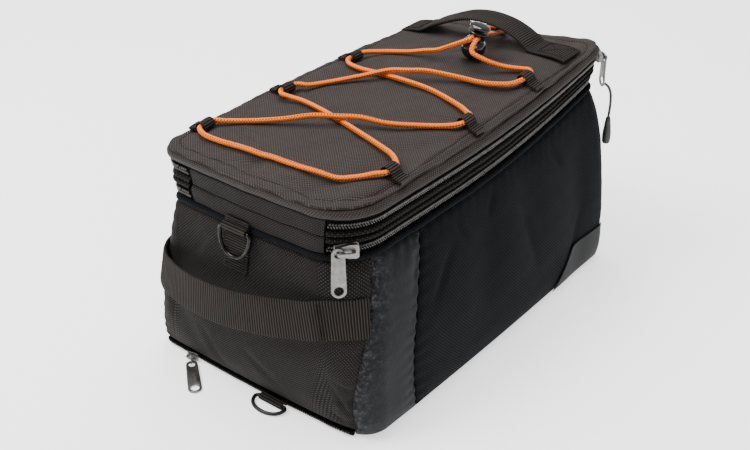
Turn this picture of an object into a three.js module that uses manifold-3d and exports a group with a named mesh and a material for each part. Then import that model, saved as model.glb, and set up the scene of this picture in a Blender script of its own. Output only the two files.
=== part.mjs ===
// A soft trunk bag for a bicycle carrier, in millimetres, +Z up.
// X runs across the bag, the front with the webbing handle faces -Y, and the base stands on z = 0.
import * as THREE from 'three';
import { mergeVertices } from 'three/addons/utils/BufferGeometryUtils.js';
import Module from 'manifold-3d';

// Driving dimensions of the body
const baseWidth = 224;
const lidWidth = 184;
const bagLength = 348;
const bodyHeight = 143.5;
const wall = 2.2;
const gap = 0.3;
const frontRightRadius = 40;
const frontLeftRadius = 18;
const rearRadius = 26;
const baseThickness = 2.6;
const rearTaper = 9;
const rearRise = 24;
const riseStart = -0.14;
const riseRun = 0.64;
const leftSag = 0.3;
const wallBow = 2;
const foldDepth = 5;
const foldWidth = 13;

// Heights of the bands that are stacked on the body, from the hem up
const hemHeight = 5.5;
const zipHeight = 10.9;
const gussetHeight = 11;
const borderHeight = 8.2;
const bandDepth = 3.4;
const zipCoil = 1.3;
const tapeSink = 1;
const tapeEdge = 0.8;
const edgeRoll = 1.9;
const rollFoot = 0.3;
const grooveDepth = 1.2;
const flapStand = 1.2;
const flapFoot = 0.2;
const flapClearance = 1.8;
const frontFlapLeft = 66;
const frontFlapRight = 64;
const baseZipHeight = 6.4;

// The domed lid
const lidCrown = 6.5;
const lidShoulder = 10;
const lidPuff = 6;
const shoulderShare = 0.42;
const lidSquareness = 5;
const lidInset = 0.4;
const lidFoldDepth = 2.6;
const lidFoldWidth = 8;

// Elastic cord, its loops and its lock
const cordDiameter = 4.2;
const cordSides = 6;
const cordStep = 9.5;
const loopWidth = 11.5;
const loopReach = 20;
const loopWall = 1.2;
const loopHolePlay = 4.6;
const loopHoleLift = 1.5;
const loopOverrun = 0.5;
const anchorReach = 14;
const anchorWidth = 4.8;
const anchorBehind = 24;
const anchorX = -2;
const ballDiameter = 21;
const neckDiameter = 14;
const lockHeadDiameter = 18;
const lockTravel = 2.2;
const lockFit = 0.4;
const lockStemDiameter = 8;
const lockCollar = 2;
const lockHead = 3.2;
const lockRim = 0.4;
const lockSlotRoof = 0.9;
const lockSlotPlay = 2.1;
const lockSides = 16;
const lockHeadLift = 0.5;
const lockX = 21;
const lockBefore = 55;

// Webbing handles
const webbingWidth = 30;
const webbingThickness = 2;
const gripThickness = 4.6;
const topHandleRise = 21;
const topHandleBack = 36;
const topHandleEnd = 7;
const topHandleSeat = 1.4;
const frontHandleBow = 20;
const frontHandleSeat = 0.9;
const frontHandleFall = 17.9;
const frontPullClearance = 1.95;

// Metal and plastic trim
const ringWire = 3.2;
const ringWidth = 34;
const ringDepth = 25;
const tabWidth = 24;
const tabWall = 1.1;
const tabTongue = 7;
const ringPlay = 0.35;
const ringSeat = 0.5;
const ringX = -15.5;
const tailThickness = 1.1;
const tailLength = 31;
const sliderLength = 16.5;
const sliderWidth = 10;
const sliderThickness = 4.2;
const sliderSeat = 1.2;
const rearSliderSeat = 0.9;
const sliderLift = 1.6;
const frontSliderWalk = 7.5;
const zipCutBehind = 0.1;
const rearSliderWalk = 9.55;
const pullLength = 40;
const rearPullLength = 31;
const pullWidth = 11.5;
const pullThickness = 1.5;
const pullTopShare = 0.43;
const pullHoleShare = 0.31;
const crownWire = 1.8;
const crownPlay = 0.7;
const crownRoot = 0.5;
const eyeRoom = 0.7;
const frontPullLean = 5;
const linkRadius = 4.1;
const linkWire = 1;
const baseSliderScale = 0.62;
const baseSliderFromSide = 41;
const baseSliderTuck = 0.45;
const basePullHeading = 50;
const baseRingDepth = 15;
const baseRingX = 19;
const baseRingTuck = 0.6;
const cordRest = 1.2;
const patchThickness = 0.8;
const patchStand = 1.4;
const pullCordDiameter = 2.4;
const gripLength = 26;
const gripWidth = 8;

const bandStack = hemHeight + zipHeight * 2 + gussetHeight + borderHeight;
const seamHeight = bodyHeight + bandStack;
const cordRadius = cordDiameter / 2;
const topHandleY = bagLength / 2 - topHandleBack;
const topHandleSpan = lidWidth - topHandleEnd * 2;

const V = (x, y, z) => new THREE.Vector3(x, y, z);
const UP = V(0, 0, 1);
const mix = THREE.MathUtils.lerp;
const QUARTER = Math.PI / 2;

// Walk numbers go from 0 to this once round the bag
const fullTurn = 8;

// Outline of the bag at each height. Height is body x bodyHeight + stack x bandStack, flare goes
// from 0 at the lid's width to 1 at the base's width, front and rear are shares of half the length,
// round is a share of the corner radii, left of the front left one, and lift a share of rearRise.
const SECTIONS = [
  { body: 0.00, stack: 0.00, flare: 0.90, front: 0.985, rear: 1.030, round: 0.62, left: 0.70, lift: 0.00 },
  { body: 0.09, stack: 0.00, flare: 1.00, front: 1.015, rear: 1.045, round: 0.66, left: 0.80, lift: 0.01 },
  { body: 0.22, stack: 0.00, flare: 0.98, front: 1.040, rear: 1.060, round: 0.74, left: 1.20, lift: 0.05 },
  { body: 0.41, stack: 0.00, flare: 0.90, front: 1.045, rear: 1.068, round: 0.82, left: 1.50, lift: 0.18 },
  { body: 0.57, stack: 0.00, flare: 0.72, front: 1.025, rear: 1.075, round: 0.88, left: 1.40, lift: 0.36 },
  { body: 0.77, stack: 0.00, flare: 0.37, front: 0.995, rear: 1.085, round: 0.95, left: 1.00, lift: 0.68 },
  { body: 0.90, stack: 0.00, flare: 0.10, front: 0.975, rear: 1.085, round: 1.00, left: 0.70, lift: 0.88 },
  { body: 1.00, stack: 0.00, flare: -0.13, front: 0.960, rear: 1.075, round: 1.00, left: 0.50, lift: 0.96 },
  { body: 1.00, stack: 0.14, flare: -0.23, front: 0.958, rear: 1.072, round: 1.00, left: 0.50, lift: 0.96 },
  { body: 1.00, stack: 0.38, flare: -0.12, front: 0.968, rear: 1.074, round: 1.00, left: 0.60, lift: 0.90 },
  { body: 1.00, stack: 0.60, flare: -0.08, front: 0.972, rear: 1.074, round: 1.00, left: 0.80, lift: 0.80 },
  { body: 1.00, stack: 0.82, flare: 0.06, front: 0.985, rear: 1.078, round: 1.00, left: 0.95, lift: 0.70 },
  { body: 1.00, stack: 1.00, flare: 0.00, front: 1.000, rear: 1.075, round: 1.00, left: 1.00, lift: 0.66 },
];

// Value of one column of a table at a height, by smooth steps through its rows
function column(rows, name, heights, at) {
  const last = rows.length - 1;
  if (at <= heights[0]) return rows[0][name];
  if (at >= heights[last]) return rows[last][name];
  let i = 0;
  while (heights[i + 1] < at) i += 1;
  const share = (at - heights[i]) / (heights[i + 1] - heights[i]);
  const slope = (k) => {
    const a = Math.max(k - 1, 0);
    const b = Math.min(k + 1, last);
    return (rows[b][name] - rows[a][name]) / (heights[b] - heights[a]);
  };
  const step = heights[i + 1] - heights[i];
  const s2 = share * share;
  const s3 = s2 * share;
  return rows[i][name] * (2 * s3 - 3 * s2 + 1) + rows[i + 1][name] * (3 * s2 - 2 * s3)
    + slope(i) * step * (s3 - 2 * s2 + share) + slope(i + 1) * step * (s3 - s2);
}

const sectionHeights = SECTIONS.map((row) => row.body * bodyHeight + row.stack * bandStack);

function section(height) {
  const flare = column(SECTIONS, 'flare', sectionHeights, height);
  return {
    half: mix(lidWidth, baseWidth, flare) / 2,
    front: column(SECTIONS, 'front', sectionHeights, height) * bagLength / 2,
    rear: column(SECTIONS, 'rear', sectionHeights, height) * bagLength / 2,
    round: column(SECTIONS, 'round', sectionHeights, height),
    left: column(SECTIONS, 'left', sectionHeights, height),
  };
}

// The stuffed bag stands higher towards its right rear corner and sags at its left rear one.
// The rise begins at riseStart and grows over riseRun, both as shares of the bag's length.
function rise(x, y, height) {
  const back = THREE.MathUtils.clamp((y / bagLength - riseStart) / riseRun, 0, 1);
  const across = THREE.MathUtils.clamp(x / (lidWidth / 2), -1, 1);
  const side = across > 0 ? (across + across ** 2) / 2 : leftSag * across;
  return rearRise * column(SECTIONS, 'lift', sectionHeights, height) * back ** 2 * side;
}

// The outline is walked by a number: 0-1 right side to the rear, 1-2 rear right corner, 2-3 rear,
// 3-4 rear left corner, 4-5 left side, 5-6 front left corner, 6-7 front, 7-8 front right corner.
// The left side comes in by rearTaper towards the rear.
function flatOutline(walk, height, inset) {
  const { half, front, rear, round, left } = section(height);
  const a = half - inset;
  const f = front - inset;
  const b = rear - inset;
  const corners = [
    { x: a, y: b, r: rearRadius * round - inset, turn: 0 },
    { x: rearTaper - a, y: b, r: rearRadius * round - inset, turn: 1 },
    { x: -a, y: -f, r: frontLeftRadius * left - inset, turn: 2 },
    { x: a, y: -f, r: frontRightRadius * round - inset, turn: 3 },
  ];
  const w = ((walk % fullTurn) + fullTurn) % fullTurn;
  const leg = Math.floor(w);
  const share = w - leg;
  const arc = (corner, part) => {
    const angle = (corner.turn + part) * QUARTER;
    const cx = corner.x - Math.sign(corner.x) * corner.r;
    const cy = corner.y - Math.sign(corner.y) * corner.r;
    return [cx + corner.r * Math.cos(angle), cy + corner.r * Math.sin(angle)];
  };
  if (leg % 2 === 1) return arc(corners[(leg - 1) / 2], share);
  const start = arc(corners[(leg / 2 + 3) % 4], 1);
  const end = arc(corners[leg / 2], 0);
  const bow = wallBow * Math.sin(Math.PI * share);
  const normal = (leg / 2) * QUARTER;
  return [
    mix(start[0], end[0], share) + bow * Math.cos(normal),
    mix(start[1], end[1], share) + bow * Math.sin(normal),
  ];
}

// Creases pressed into the body walls: place by walk and share of the body's height, length as a
// share of the body's height, width and depth as shares of foldWidth and foldDepth, lean in degrees.
const FOLDS = [
  { walk: 7.10, up: 0.12, length: 0.20, lean: -38, width: 0.8, depth: 0.7 },
  { walk: 7.20, up: 0.30, length: 0.16, lean: -60, width: 0.7, depth: 0.5 },
  { walk: 6.05, up: 0.72, length: 0.26, lean: 24, width: 1.0, depth: 0.9 },
  { walk: 6.10, up: 0.30, length: 0.22, lean: -35, width: 0.9, depth: 0.6 },
  { walk: 0.42, up: 0.70, length: 0.40, lean: 12, width: 1.6, depth: 0.6 },
  { walk: 0.64, up: 0.72, length: 0.42, lean: -8, width: 1.6, depth: 0.6 },
  { walk: 0.90, up: 0.45, length: 0.50, lean: 4, width: 1.4, depth: 0.6 },
  { walk: 4.30, up: 0.70, length: 0.45, lean: 10, width: 1.7, depth: 0.6 },
  { walk: 4.66, up: 0.66, length: 0.40, lean: -9, width: 1.6, depth: 0.6 },
  { walk: 2.50, up: 0.66, length: 0.45, lean: 0, width: 2.0, depth: 0.6 },
];

function outward(walk, height) {
  const step = 0.01;
  const [x0, y0] = flatOutline(walk - step, height, 0);
  const [x1, y1] = flatOutline(walk + step, height, 0);
  return V(y1 - y0, x0 - x1, 0).normalize();
}

const foldFrames = FOLDS.map((fold) => {
  const [x, y] = flatOutline(fold.walk, fold.up * bodyHeight, 0);
  const side = outward(fold.walk, fold.up * bodyHeight).cross(UP).negate();
  const lean = THREE.MathUtils.degToRad(fold.lean);
  const along = V(0, 0, 0).addScaledVector(UP, Math.cos(lean)).addScaledVector(side, Math.sin(lean));
  return { ...fold, centre: V(x, y, fold.up * bodyHeight), along };
});

function dent(x, y, height) {
  let depth = 0;
  for (const fold of foldFrames) {
    const off = V(x, y, height).sub(fold.centre);
    const run = off.dot(fold.along) / (fold.length * bodyHeight);
    const across = off.addScaledVector(fold.along, -off.dot(fold.along)).length();
    const spread = across / (fold.width * foldWidth);
    depth += fold.depth * foldDepth * Math.exp(-spread * spread - run ** 4);
  }
  const ends = Math.sin(Math.PI * THREE.MathUtils.clamp(height / bodyHeight, 0, 1));
  return depth * Math.sqrt(Math.max(ends, 0));
}

// A point on the bag's wall, inset from its outer face, with the folds and the rear rise
function wallPoint(walk, height, inset) {
  const [x, y] = flatOutline(walk, height, inset);
  const push = height < bodyHeight ? dent(x, y, height) : 0;
  const out = outward(walk, height).multiplyScalar(-push);
  return V(x + out.x, y + out.y, height + rise(x, y, height));
}

// Walk number on the front for a distance from the middle line, positive to the right
function frontWalk(x, height) {
  const { half, round, left } = section(height);
  const radius = x > 0 ? frontRightRadius * round : frontLeftRadius * left;
  const straight = half - radius;
  if (Math.abs(x) > straight) {
    const angle = Math.asin(Math.min((Math.abs(x) - straight) / radius, 1)) / QUARTER;
    return x > 0 ? 7 + angle : 6 - angle;
  }
  const start = -(half - frontLeftRadius * left);
  const end = half - frontRightRadius * round;
  return 6 + (x - start) / (end - start);
}

// Closed bodies from rings and grids
function bodyFrom(points, triangles) {
  let volume = 0;
  for (const [a, b, c] of triangles) {
    volume += points[a].dot(V(0, 0, 0).crossVectors(points[b], points[c]));
  }
  const index = triangles.flatMap(([a, b, c]) => (volume < 0 ? [a, c, b] : [a, b, c]));
  const geometry = new THREE.BufferGeometry();
  const positions = points.flatMap((p) => [p.x, p.y, p.z]);
  geometry.setAttribute('position', new THREE.Float32BufferAttribute(positions, 3));
  geometry.setIndex(index);
  return geometry;
}

// A plate between two grids of points of the same size, outer[row][column] and inner[row][column]
function plate(outer, inner) {
  const rows = outer.length;
  const columns = outer[0].length;
  const points = [...outer.flat(), ...inner.flat()];
  const at = (layer, r, c) => layer * rows * columns + r * columns + c;
  const triangles = [];
  const quad = (a, b, c, d) => triangles.push([a, b, c], [a, c, d]);
  for (let r = 0; r < rows - 1; r += 1) {
    for (let c = 0; c < columns - 1; c += 1) {
      quad(at(0, r, c), at(0, r, c + 1), at(0, r + 1, c + 1), at(0, r + 1, c));
      quad(at(1, r, c), at(1, r + 1, c), at(1, r + 1, c + 1), at(1, r, c + 1));
    }
  }
  for (let c = 0; c < columns - 1; c += 1) {
    quad(at(1, 0, c), at(1, 0, c + 1), at(0, 0, c + 1), at(0, 0, c));
    quad(at(0, rows - 1, c), at(0, rows - 1, c + 1), at(1, rows - 1, c + 1), at(1, rows - 1, c));
  }
  for (let r = 0; r < rows - 1; r += 1) {
    quad(at(0, r, 0), at(0, r + 1, 0), at(1, r + 1, 0), at(1, r, 0));
    quad(at(1, r, columns - 1), at(1, r + 1, columns - 1), at(0, r + 1, columns - 1), at(0, r, columns - 1));
  }
  return bodyFrom(points, triangles);
}

// A profile carried through a list of rings; an open run is closed by caps cut like the profile
function sweep(rings, profile, closed) {
  const n = profile.length;
  const points = rings.flat();
  const triangles = [];
  const runs = closed ? rings.length : rings.length - 1;
  for (let k = 0; k < runs; k += 1) {
    const next = (k + 1) % rings.length;
    for (let i = 0; i < n; i += 1) {
      const j = (i + 1) % n;
      triangles.push([k * n + i, k * n + j, next * n + j], [k * n + i, next * n + j, next * n + i]);
    }
  }
  if (!closed) {
    const faces = THREE.ShapeUtils.triangulateShape(profile.map(([x, y]) => new THREE.Vector2(x, y)), []);
    const clockwise = THREE.ShapeUtils.area(profile.map(([x, y]) => ({ x, y }))) < 0;
    const end = (rings.length - 1) * n;
    for (const [a, b, c] of faces) {
      const [p, q] = clockwise ? [b, c] : [c, b];
      triangles.push([a, p, q], [end + a, end + q, end + p]);
    }
  }
  return bodyFrom(points, triangles);
}

function steps(from, to, count) {
  return Array.from({ length: count + 1 }, (_, i) => mix(from, to, i / count));
}

function solid(name, geometry, finish) {
  const mesh = new THREE.Mesh(geometry, new THREE.MeshStandardMaterial(finish));
  mesh.name = name;
  return mesh;
}

// Finishes read from the photograph
const WOVEN = { color: 0x2f2d2c, roughness: 0.9, metalness: 0 };
const SIDE_CLOTH = { color: 0x1b1c20, roughness: 0.85, metalness: 0 };
const COATED = { color: 0x3a3c40, roughness: 0.4, metalness: 0 };
const WEBBING = { color: 0x342d29, roughness: 0.85, metalness: 0 };
const ZIP = { color: 0x151515, roughness: 0.6, metalness: 0 };
const ORANGE = { color: 0xf07a1a, roughness: 0.6, metalness: 0 };
const SILVER = { color: 0xb8b6b2, roughness: 0.35, metalness: 1 };
const DARK_METAL = { color: 0x4a4845, roughness: 0.3, metalness: 1 };
const BLACK_PLASTIC = { color: 0x0b0b0c, roughness: 0.2, metalness: 0 };
const REFLECTIVE = { color: 0x8f9296, roughness: 0.4, metalness: 0 };

const bag = new THREE.Group();
const add = (...meshes) => bag.add(...meshes);

// Walls of the body. Seams are walk numbers at rising heights, with half a gap on each side.
const SEAMS = {
  frontRight: [[0, 7.24], [0.25, 7.38], [0.5, 7.56], [0.8, 7.74], [1, 7.82]],
  sideRight: [[0, 8.112], [0.5, 8.112], [1, 8.149]],
  rearRight: [[0, 10], [1, 10]],
  rearLeft: [[0, 11], [1, 11]],
  sideLeft: [[0, 12.888], [0.5, 12.888], [1, 12.851]],
  frontLeft: [[0, 13.60], [0.25, 13.50], [0.5, 13.36], [0.8, 13.18], [1, 13.12]],
};

function seamWalk(seam, share) {
  const heights = seam.map(([up]) => up);
  return column(seam.map(([, walk]) => ({ walk })), 'walk', heights, share);
}

function trimmed(walk, height, distance) {
  const step = 0.02;
  const [x0, y0] = flatOutline(walk, height, 0);
  const [x1, y1] = flatOutline(walk + step, height, 0);
  return walk + distance * step / Math.hypot(x1 - x0, y1 - y0);
}

// Levels that all walls share, so that neighbours meet edge to edge
const wallFoot = baseZipHeight + gap;
const wallLevels = [gap, ...steps(wallFoot, bodyHeight - gap / 2, 8)];

function bodyWall(name, fromSeam, toSeam, columns, heights, finish) {
  const grid = (inset) => heights.map((height) => {
    const share = height / bodyHeight;
    const from = trimmed(seamWalk(fromSeam, share), height, gap / 2);
    const to = trimmed(seamWalk(toSeam, share), height, -gap / 2);
    return steps(from, to, columns).map((walk) => wallPoint(walk, height, inset));
  });
  return solid(name, plate(grid(0), grid(wall)), finish);
}

const earlier = (seam) => seam.map(([up, walk]) => [up, walk - fullTurn]);

add(
  bodyWall('side_panel_right', SEAMS.sideRight, SEAMS.rearRight, 16, wallLevels, SIDE_CLOTH),
  bodyWall('rear_panel', SEAMS.rearRight, SEAMS.rearLeft, 6, wallLevels, WOVEN),
  bodyWall('side_panel_left', SEAMS.rearLeft, SEAMS.sideLeft, 16, wallLevels, SIDE_CLOTH),
  bodyWall('corner_panel_front_left', SEAMS.sideLeft, SEAMS.frontLeft, 5, wallLevels, COATED),
  bodyWall('front_panel', earlier(SEAMS.frontLeft), SEAMS.frontRight, 13, wallLevels.slice(1), WOVEN),
  bodyWall('corner_panel_front_right', SEAMS.frontRight, SEAMS.sideRight, 5, wallLevels, COATED),
);

// Bands are profiles of [share of the band's height, outward stand], closed by an inner face
function band(name, profile, bottom, height, walks, finish, closed) {
  const outline = [...profile, [1, -bandDepth], [0, -bandDepth]];
  const rings = walks.map((walk) => outline.map(([share, stand]) => {
    const level = bottom + gap / 2 + share * (height - gap);
    return wallPoint(walk, level, -stand);
  }));
  return solid(name, sweep(rings, outline, closed), finish);
}

const ZIP_PROFILE = [
  [0, -tapeEdge], [0.26, -tapeSink], [0.34, zipCoil], [0.66, zipCoil], [0.74, -tapeSink], [1, -tapeEdge],
];
const GUSSET_PROFILE = [
  [0, 0], [0.12, edgeRoll], [0.38, edgeRoll * 0.9], [0.50, -grooveDepth], [0.62, edgeRoll * 0.9],
  [0.88, edgeRoll], [1, 0],
];
const ROLL_PROFILE = [[0, -rollFoot], [0.25, edgeRoll * 0.9], [0.7, edgeRoll], [1, -rollFoot]];
const FLAP_PROFILE = [
  [0, -flapFoot], [0.12, flapStand * 0.75], [0.5, flapStand], [0.88, flapStand * 0.75], [1, -flapFoot],
];

const hemBottom = bodyHeight;
const lowerZipBottom = hemBottom + hemHeight;
const gussetBottom = lowerZipBottom + zipHeight;
const upperZipBottom = gussetBottom + gussetHeight;
const borderBottom = upperZipBottom + zipHeight;
const lowerCoil = lowerZipBottom + zipHeight / 2;
const upperCoil = upperZipBottom + zipHeight / 2;

// Parts of each leg of a run round the bag, and the shortest step that a run may take
const sideParts = 6;
const endParts = 4;
const cornerParts = 4;
const shortestStep = 0.03;

function partsOf(leg) {
  if (leg % 2 === 1) return cornerParts;
  return leg % 4 === 0 ? sideParts : endParts;
}

// Walk numbers for a run round the bag, closer together in the corners
function runRound(from, to) {
  const list = [from];
  for (let leg = Math.floor(from); leg < to; leg += 1) {
    for (const walk of steps(leg, leg + 1, partsOf(leg))) {
      if (walk > list[list.length - 1] + shortestStep && walk < to - shortestStep) list.push(walk);
    }
  }
  list.push(to);
  return list;
}

const flapGap = flapClearance / (frontRightRadius * QUARTER);
const zipStart = frontWalk(frontFlapRight, lowerZipBottom) - fullTurn;
const zipEnd = frontWalk(-frontFlapLeft, lowerZipBottom);
const zipRun = runRound(zipStart, zipEnd);

// The lower zip is cut just behind its slider and where the corner ends, so that each piece is nearly
// convex. The cuts are gap wide.
const zipCut = frontSliderWalk + zipCutBehind - fullTurn;
const zipCutGap = gap / (frontRightRadius * QUARTER);
const flapRun = runRound(zipEnd + flapGap, zipStart + fullTurn - flapGap);
const fullRun = runRound(0, fullTurn).slice(0, -1);

const flapHeight = zipHeight + gussetHeight / 2;
const flapSeam = gussetBottom + gussetHeight / 2;
const baseZipEnd = 0.02;
const baseZipRun = steps(
  seamWalk(SEAMS.frontLeft, 0) - fullTurn + baseZipEnd,
  seamWalk(SEAMS.frontRight, 0) - baseZipEnd,
  16,
);

add(
  band('body_hem', ROLL_PROFILE, hemBottom, hemHeight, fullRun, SIDE_CLOTH, true),
  band('lower_zip_front', ZIP_PROFILE, lowerZipBottom, zipHeight, runRound(zipStart, zipCut), ZIP, false),
  band(
    'lower_zip_corner', ZIP_PROFILE, lowerZipBottom, zipHeight,
    runRound(zipCut + zipCutGap, -zipCutGap), ZIP, false,
  ),
  band('lower_zip', ZIP_PROFILE, lowerZipBottom, zipHeight, runRound(0, zipEnd), ZIP, false),
  band('gusset_band', GUSSET_PROFILE, gussetBottom, gussetHeight, zipRun, WOVEN, false),
  band('upper_zip', ZIP_PROFILE, upperZipBottom, zipHeight, zipRun, ZIP, false),
  band('lid_border', ROLL_PROFILE, borderBottom, borderHeight, fullRun, WOVEN, true),
  band('front_band_lower', FLAP_PROFILE, lowerZipBottom, flapHeight, flapRun, WOVEN, false),
  band('front_band_upper', FLAP_PROFILE, flapSeam, flapHeight, flapRun, WOVEN, false),
  band('base_zip', ROLL_PROFILE, gap / 2, baseZipHeight, baseZipRun, ZIP, false),
);

// Stiff base, a flat plate inside the foot of the walls
function basePanel() {
  const inset = bandDepth + gap * 2;
  const shape = new THREE.Shape(runRound(0, fullTurn).slice(0, -1).map((walk) => {
    const [x, y] = flatOutline(walk, 0, inset);
    return new THREE.Vector2(x, y);
  }));
  const geometry = new THREE.ExtrudeGeometry(shape, { depth: baseThickness, bevelEnabled: false });
  return solid('base_panel', geometry, WOVEN);
}
add(basePanel());

// Folds of the lid: ends as shares of half the width and half the length, depth and width as shares
const LID_FOLDS = [
  { x0: -0.14, y0: -0.86, x1: 0.02, y1: -1.00, width: 0.8, depth: 1.0 },
  { x0: -0.72, y0: -0.92, x1: -0.46, y1: -0.93, width: 0.7, depth: 0.7 },
  { x0: 0.48, y0: -0.96, x1: 0.76, y1: -0.58, width: 1.0, depth: 1.0 },
  { x0: 0.68, y0: -0.42, x1: 0.92, y1: -0.20, width: 0.9, depth: 0.8 },
  { x0: 0.40, y0: 0.18, x1: 0.92, y1: 0.34, width: 0.9, depth: 0.8 },
  { x0: -0.14, y0: 0.26, x1: -0.06, y1: 0.42, width: 1.0, depth: 0.8 },
];

function lidFold(x, y) {
  let depth = 0;
  for (const fold of LID_FOLDS) {
    const from = new THREE.Vector2(fold.x0 * lidWidth / 2, fold.y0 * bagLength / 2);
    const to = new THREE.Vector2(fold.x1 * lidWidth / 2, fold.y1 * bagLength / 2);
    const along = to.clone().sub(from);
    const length = along.length();
    along.divideScalar(length);
    const off = new THREE.Vector2(x, y).sub(from);
    const run = (off.dot(along) - length / 2) / (length / 2);
    const across = Math.abs(off.cross(along)) / (fold.width * lidFoldWidth);
    depth += fold.depth * lidFoldDepth * Math.exp(-across * across - run ** 4);
  }
  return depth;
}

// The lid's puff: its middle and its spread as shares of half the width and half the length
const PUFF = { x: 0.25, y: 0.45, spreadX: 0.6, spreadY: 0.42 };

// Height of the lid's top: a quick shoulder at the seam, then a slow crown, a puff and folds
function lidTop(x, y) {
  const a = lidWidth / 2;
  const b = bagLength / 2;
  const squared = (Math.abs(x) / a) ** lidSquareness + (Math.abs(y) / b) ** lidSquareness;
  const reach = Math.min(squared ** (1 / lidSquareness), 1);
  const fromEdge = (1 - reach) * a;
  const shoulder = 1 - Math.max(1 - fromEdge / lidShoulder, 0) ** 2;
  const crown = (1 - (x / a) ** 2) * (1 - (y / b) ** 4);
  const puffAcross = (x / a - PUFF.x) / PUFF.spreadX;
  const puffAlong = (y / b - PUFF.y) / PUFF.spreadY;
  const puff = Math.exp(-(puffAcross ** 2) - puffAlong ** 2);
  const dome = lidCrown * mix(Math.max(crown, 0), shoulder, shoulderShare) + lidPuff * puff;
  return seamHeight + gap / 2 + wall + dome + rise(x, y, seamHeight) - lidFold(x, y) * shoulder;
}

const LID_RINGS = [1, 0.98, 0.94, 0.87, 0.77, 0.63, 0.45, 0.24];

function lidPanel() {
  const around = runRound(0, fullTurn).slice(0, -1);
  const ringAt = (share, lift) => around.map((walk) => {
    const [ex, ey] = flatOutline(walk, seamHeight, lidInset);
    const x = ex * share;
    const y = ey * share;
    return V(x, y, lidTop(x, y) + lift);
  });
  const layers = [];
  for (const share of [...LID_RINGS].reverse()) layers.push(ringAt(share, 0));
  for (const share of LID_RINGS) layers.push(ringAt(share, -wall));
  const n = around.length;
  const points = layers.flat();
  const triangles = [];
  for (let k = 0; k < layers.length - 1; k += 1) {
    for (let i = 0; i < n; i += 1) {
      const j = (i + 1) % n;
      const above = (k + 1) * n;
      triangles.push([k * n + i, k * n + j, above + j], [k * n + i, above + j, above + i]);
    }
  }
  const top = points.push(V(0, 0, lidTop(0, 0))) - 1;
  const under = points.push(V(0, 0, lidTop(0, 0) - wall)) - 1;
  const end = (layers.length - 1) * n;
  for (let i = 0; i < n; i += 1) {
    const j = (i + 1) % n;
    triangles.push([top, j, i], [under, end + i, end + j]);
  }
  return solid('lid_panel', bodyFrom(points, triangles), WOVEN);
}
add(lidPanel());

// Frame of a piece that lies on the lid: its x axis points at the yaw, its base follows the slope
function lidFrame(x, y, yaw, reachX, reachY) {
  const angle = THREE.MathUtils.degToRad(yaw);
  const ex = V(Math.cos(angle), Math.sin(angle), 0);
  const ey = V(-Math.sin(angle), Math.cos(angle), 0);
  const height = (u, v) => lidTop(x + ex.x * u + ey.x * v, y + ex.y * u + ey.y * v);
  const slopeX = (height(reachX, 0) - height(-reachX, 0)) / (2 * reachX);
  const slopeY = (height(0, reachY) - height(0, -reachY)) / (2 * reachY);
  const axisX = ex.clone().setZ(slopeX).normalize();
  const axisZ = axisX.clone().cross(ey.clone().setZ(slopeY)).normalize();
  const axisY = axisZ.clone().cross(axisX);
  const frame = new THREE.Matrix4().makeBasis(axisX, axisY, axisZ);
  let lift = -Infinity;
  for (const u of steps(-reachX, reachX, 8)) {
    for (const v of steps(-reachY, reachY, 8)) {
      const corner = V(u, v, 0).applyMatrix4(frame);
      lift = Math.max(lift, lidTop(x + corner.x, y + corner.y) - corner.z);
    }
  }
  return frame.setPosition(x, y, lift + gap);
}

// Webbing loops that lead the elastic cord, each with a hole that the cord runs through
const loopHoleWidth = cordDiameter + loopHolePlay;
const loopHoleHeight = cordDiameter + loopHoleLift;

// Loops along the lid's two edges: how far in from the edge, and the place along the bag as a share
// of half its length. The left ones are turned round, and come in where the side tapers.
const LOOPS = {
  rightFront: { name: 'cord_loop_right_front', side: 1, fromEdge: 8, along: -0.621 },
  rightMiddle: { name: 'cord_loop_right_middle', side: 1, fromEdge: 9, along: -0.063 },
  rightRear: { name: 'cord_loop_right_rear', side: 1, fromEdge: 10, along: 0.437 },
  leftFront: { name: 'cord_loop_left_front', side: -1, fromEdge: 11, along: -0.787 },
  leftMiddle: { name: 'cord_loop_left_middle', side: -1, fromEdge: 17, along: -0.293 },
  leftRear: { name: 'cord_loop_left_rear', side: -1, fromEdge: 19, along: 0.201 },
};
const anchorYaw = 90;

function loopProfile(reach) {
  const top = loopHoleHeight + loopWall * 2;
  const inner = -reach / 2;
  const shape = new THREE.Shape();
  shape.moveTo(reach / 2, 0);
  shape.lineTo(reach / 2, loopWall * 2);
  shape.lineTo(inner + loopHoleWidth + loopWall * 3, loopWall * 2.3);
  shape.lineTo(inner + loopHoleWidth, top);
  shape.lineTo(inner + loopWall * 1.5, top);
  shape.lineTo(inner, top - loopWall * 1.5);
  shape.lineTo(inner, loopWall * 0.8);
  shape.lineTo(inner + loopWall * 0.7, 0);
  const hole = new THREE.Path();
  hole.moveTo(inner + loopWall, loopWall);
  hole.lineTo(inner + loopWall + loopHoleWidth, loopWall);
  hole.lineTo(inner + loopWall + loopHoleWidth, loopWall + loopHoleHeight * 0.5);
  hole.lineTo(inner + loopHoleWidth, loopWall + loopHoleHeight);
  hole.lineTo(inner + loopWall * 2, loopWall + loopHoleHeight);
  hole.lineTo(inner + loopWall, loopWall + loopHoleHeight * 0.7);
  shape.holes.push(hole);
  return shape;
}

const placed = (mesh, frame) => {
  mesh.applyMatrix4(frame);
  return mesh;
};

function webbingLoop(name, frame, reach, width) {
  const geometry = new THREE.ExtrudeGeometry(loopProfile(reach), { depth: width, bevelEnabled: false });
  geometry.translate(0, 0, -width / 2).rotateX(QUARTER);
  return placed(solid(name, geometry, WEBBING), frame);
}

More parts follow.
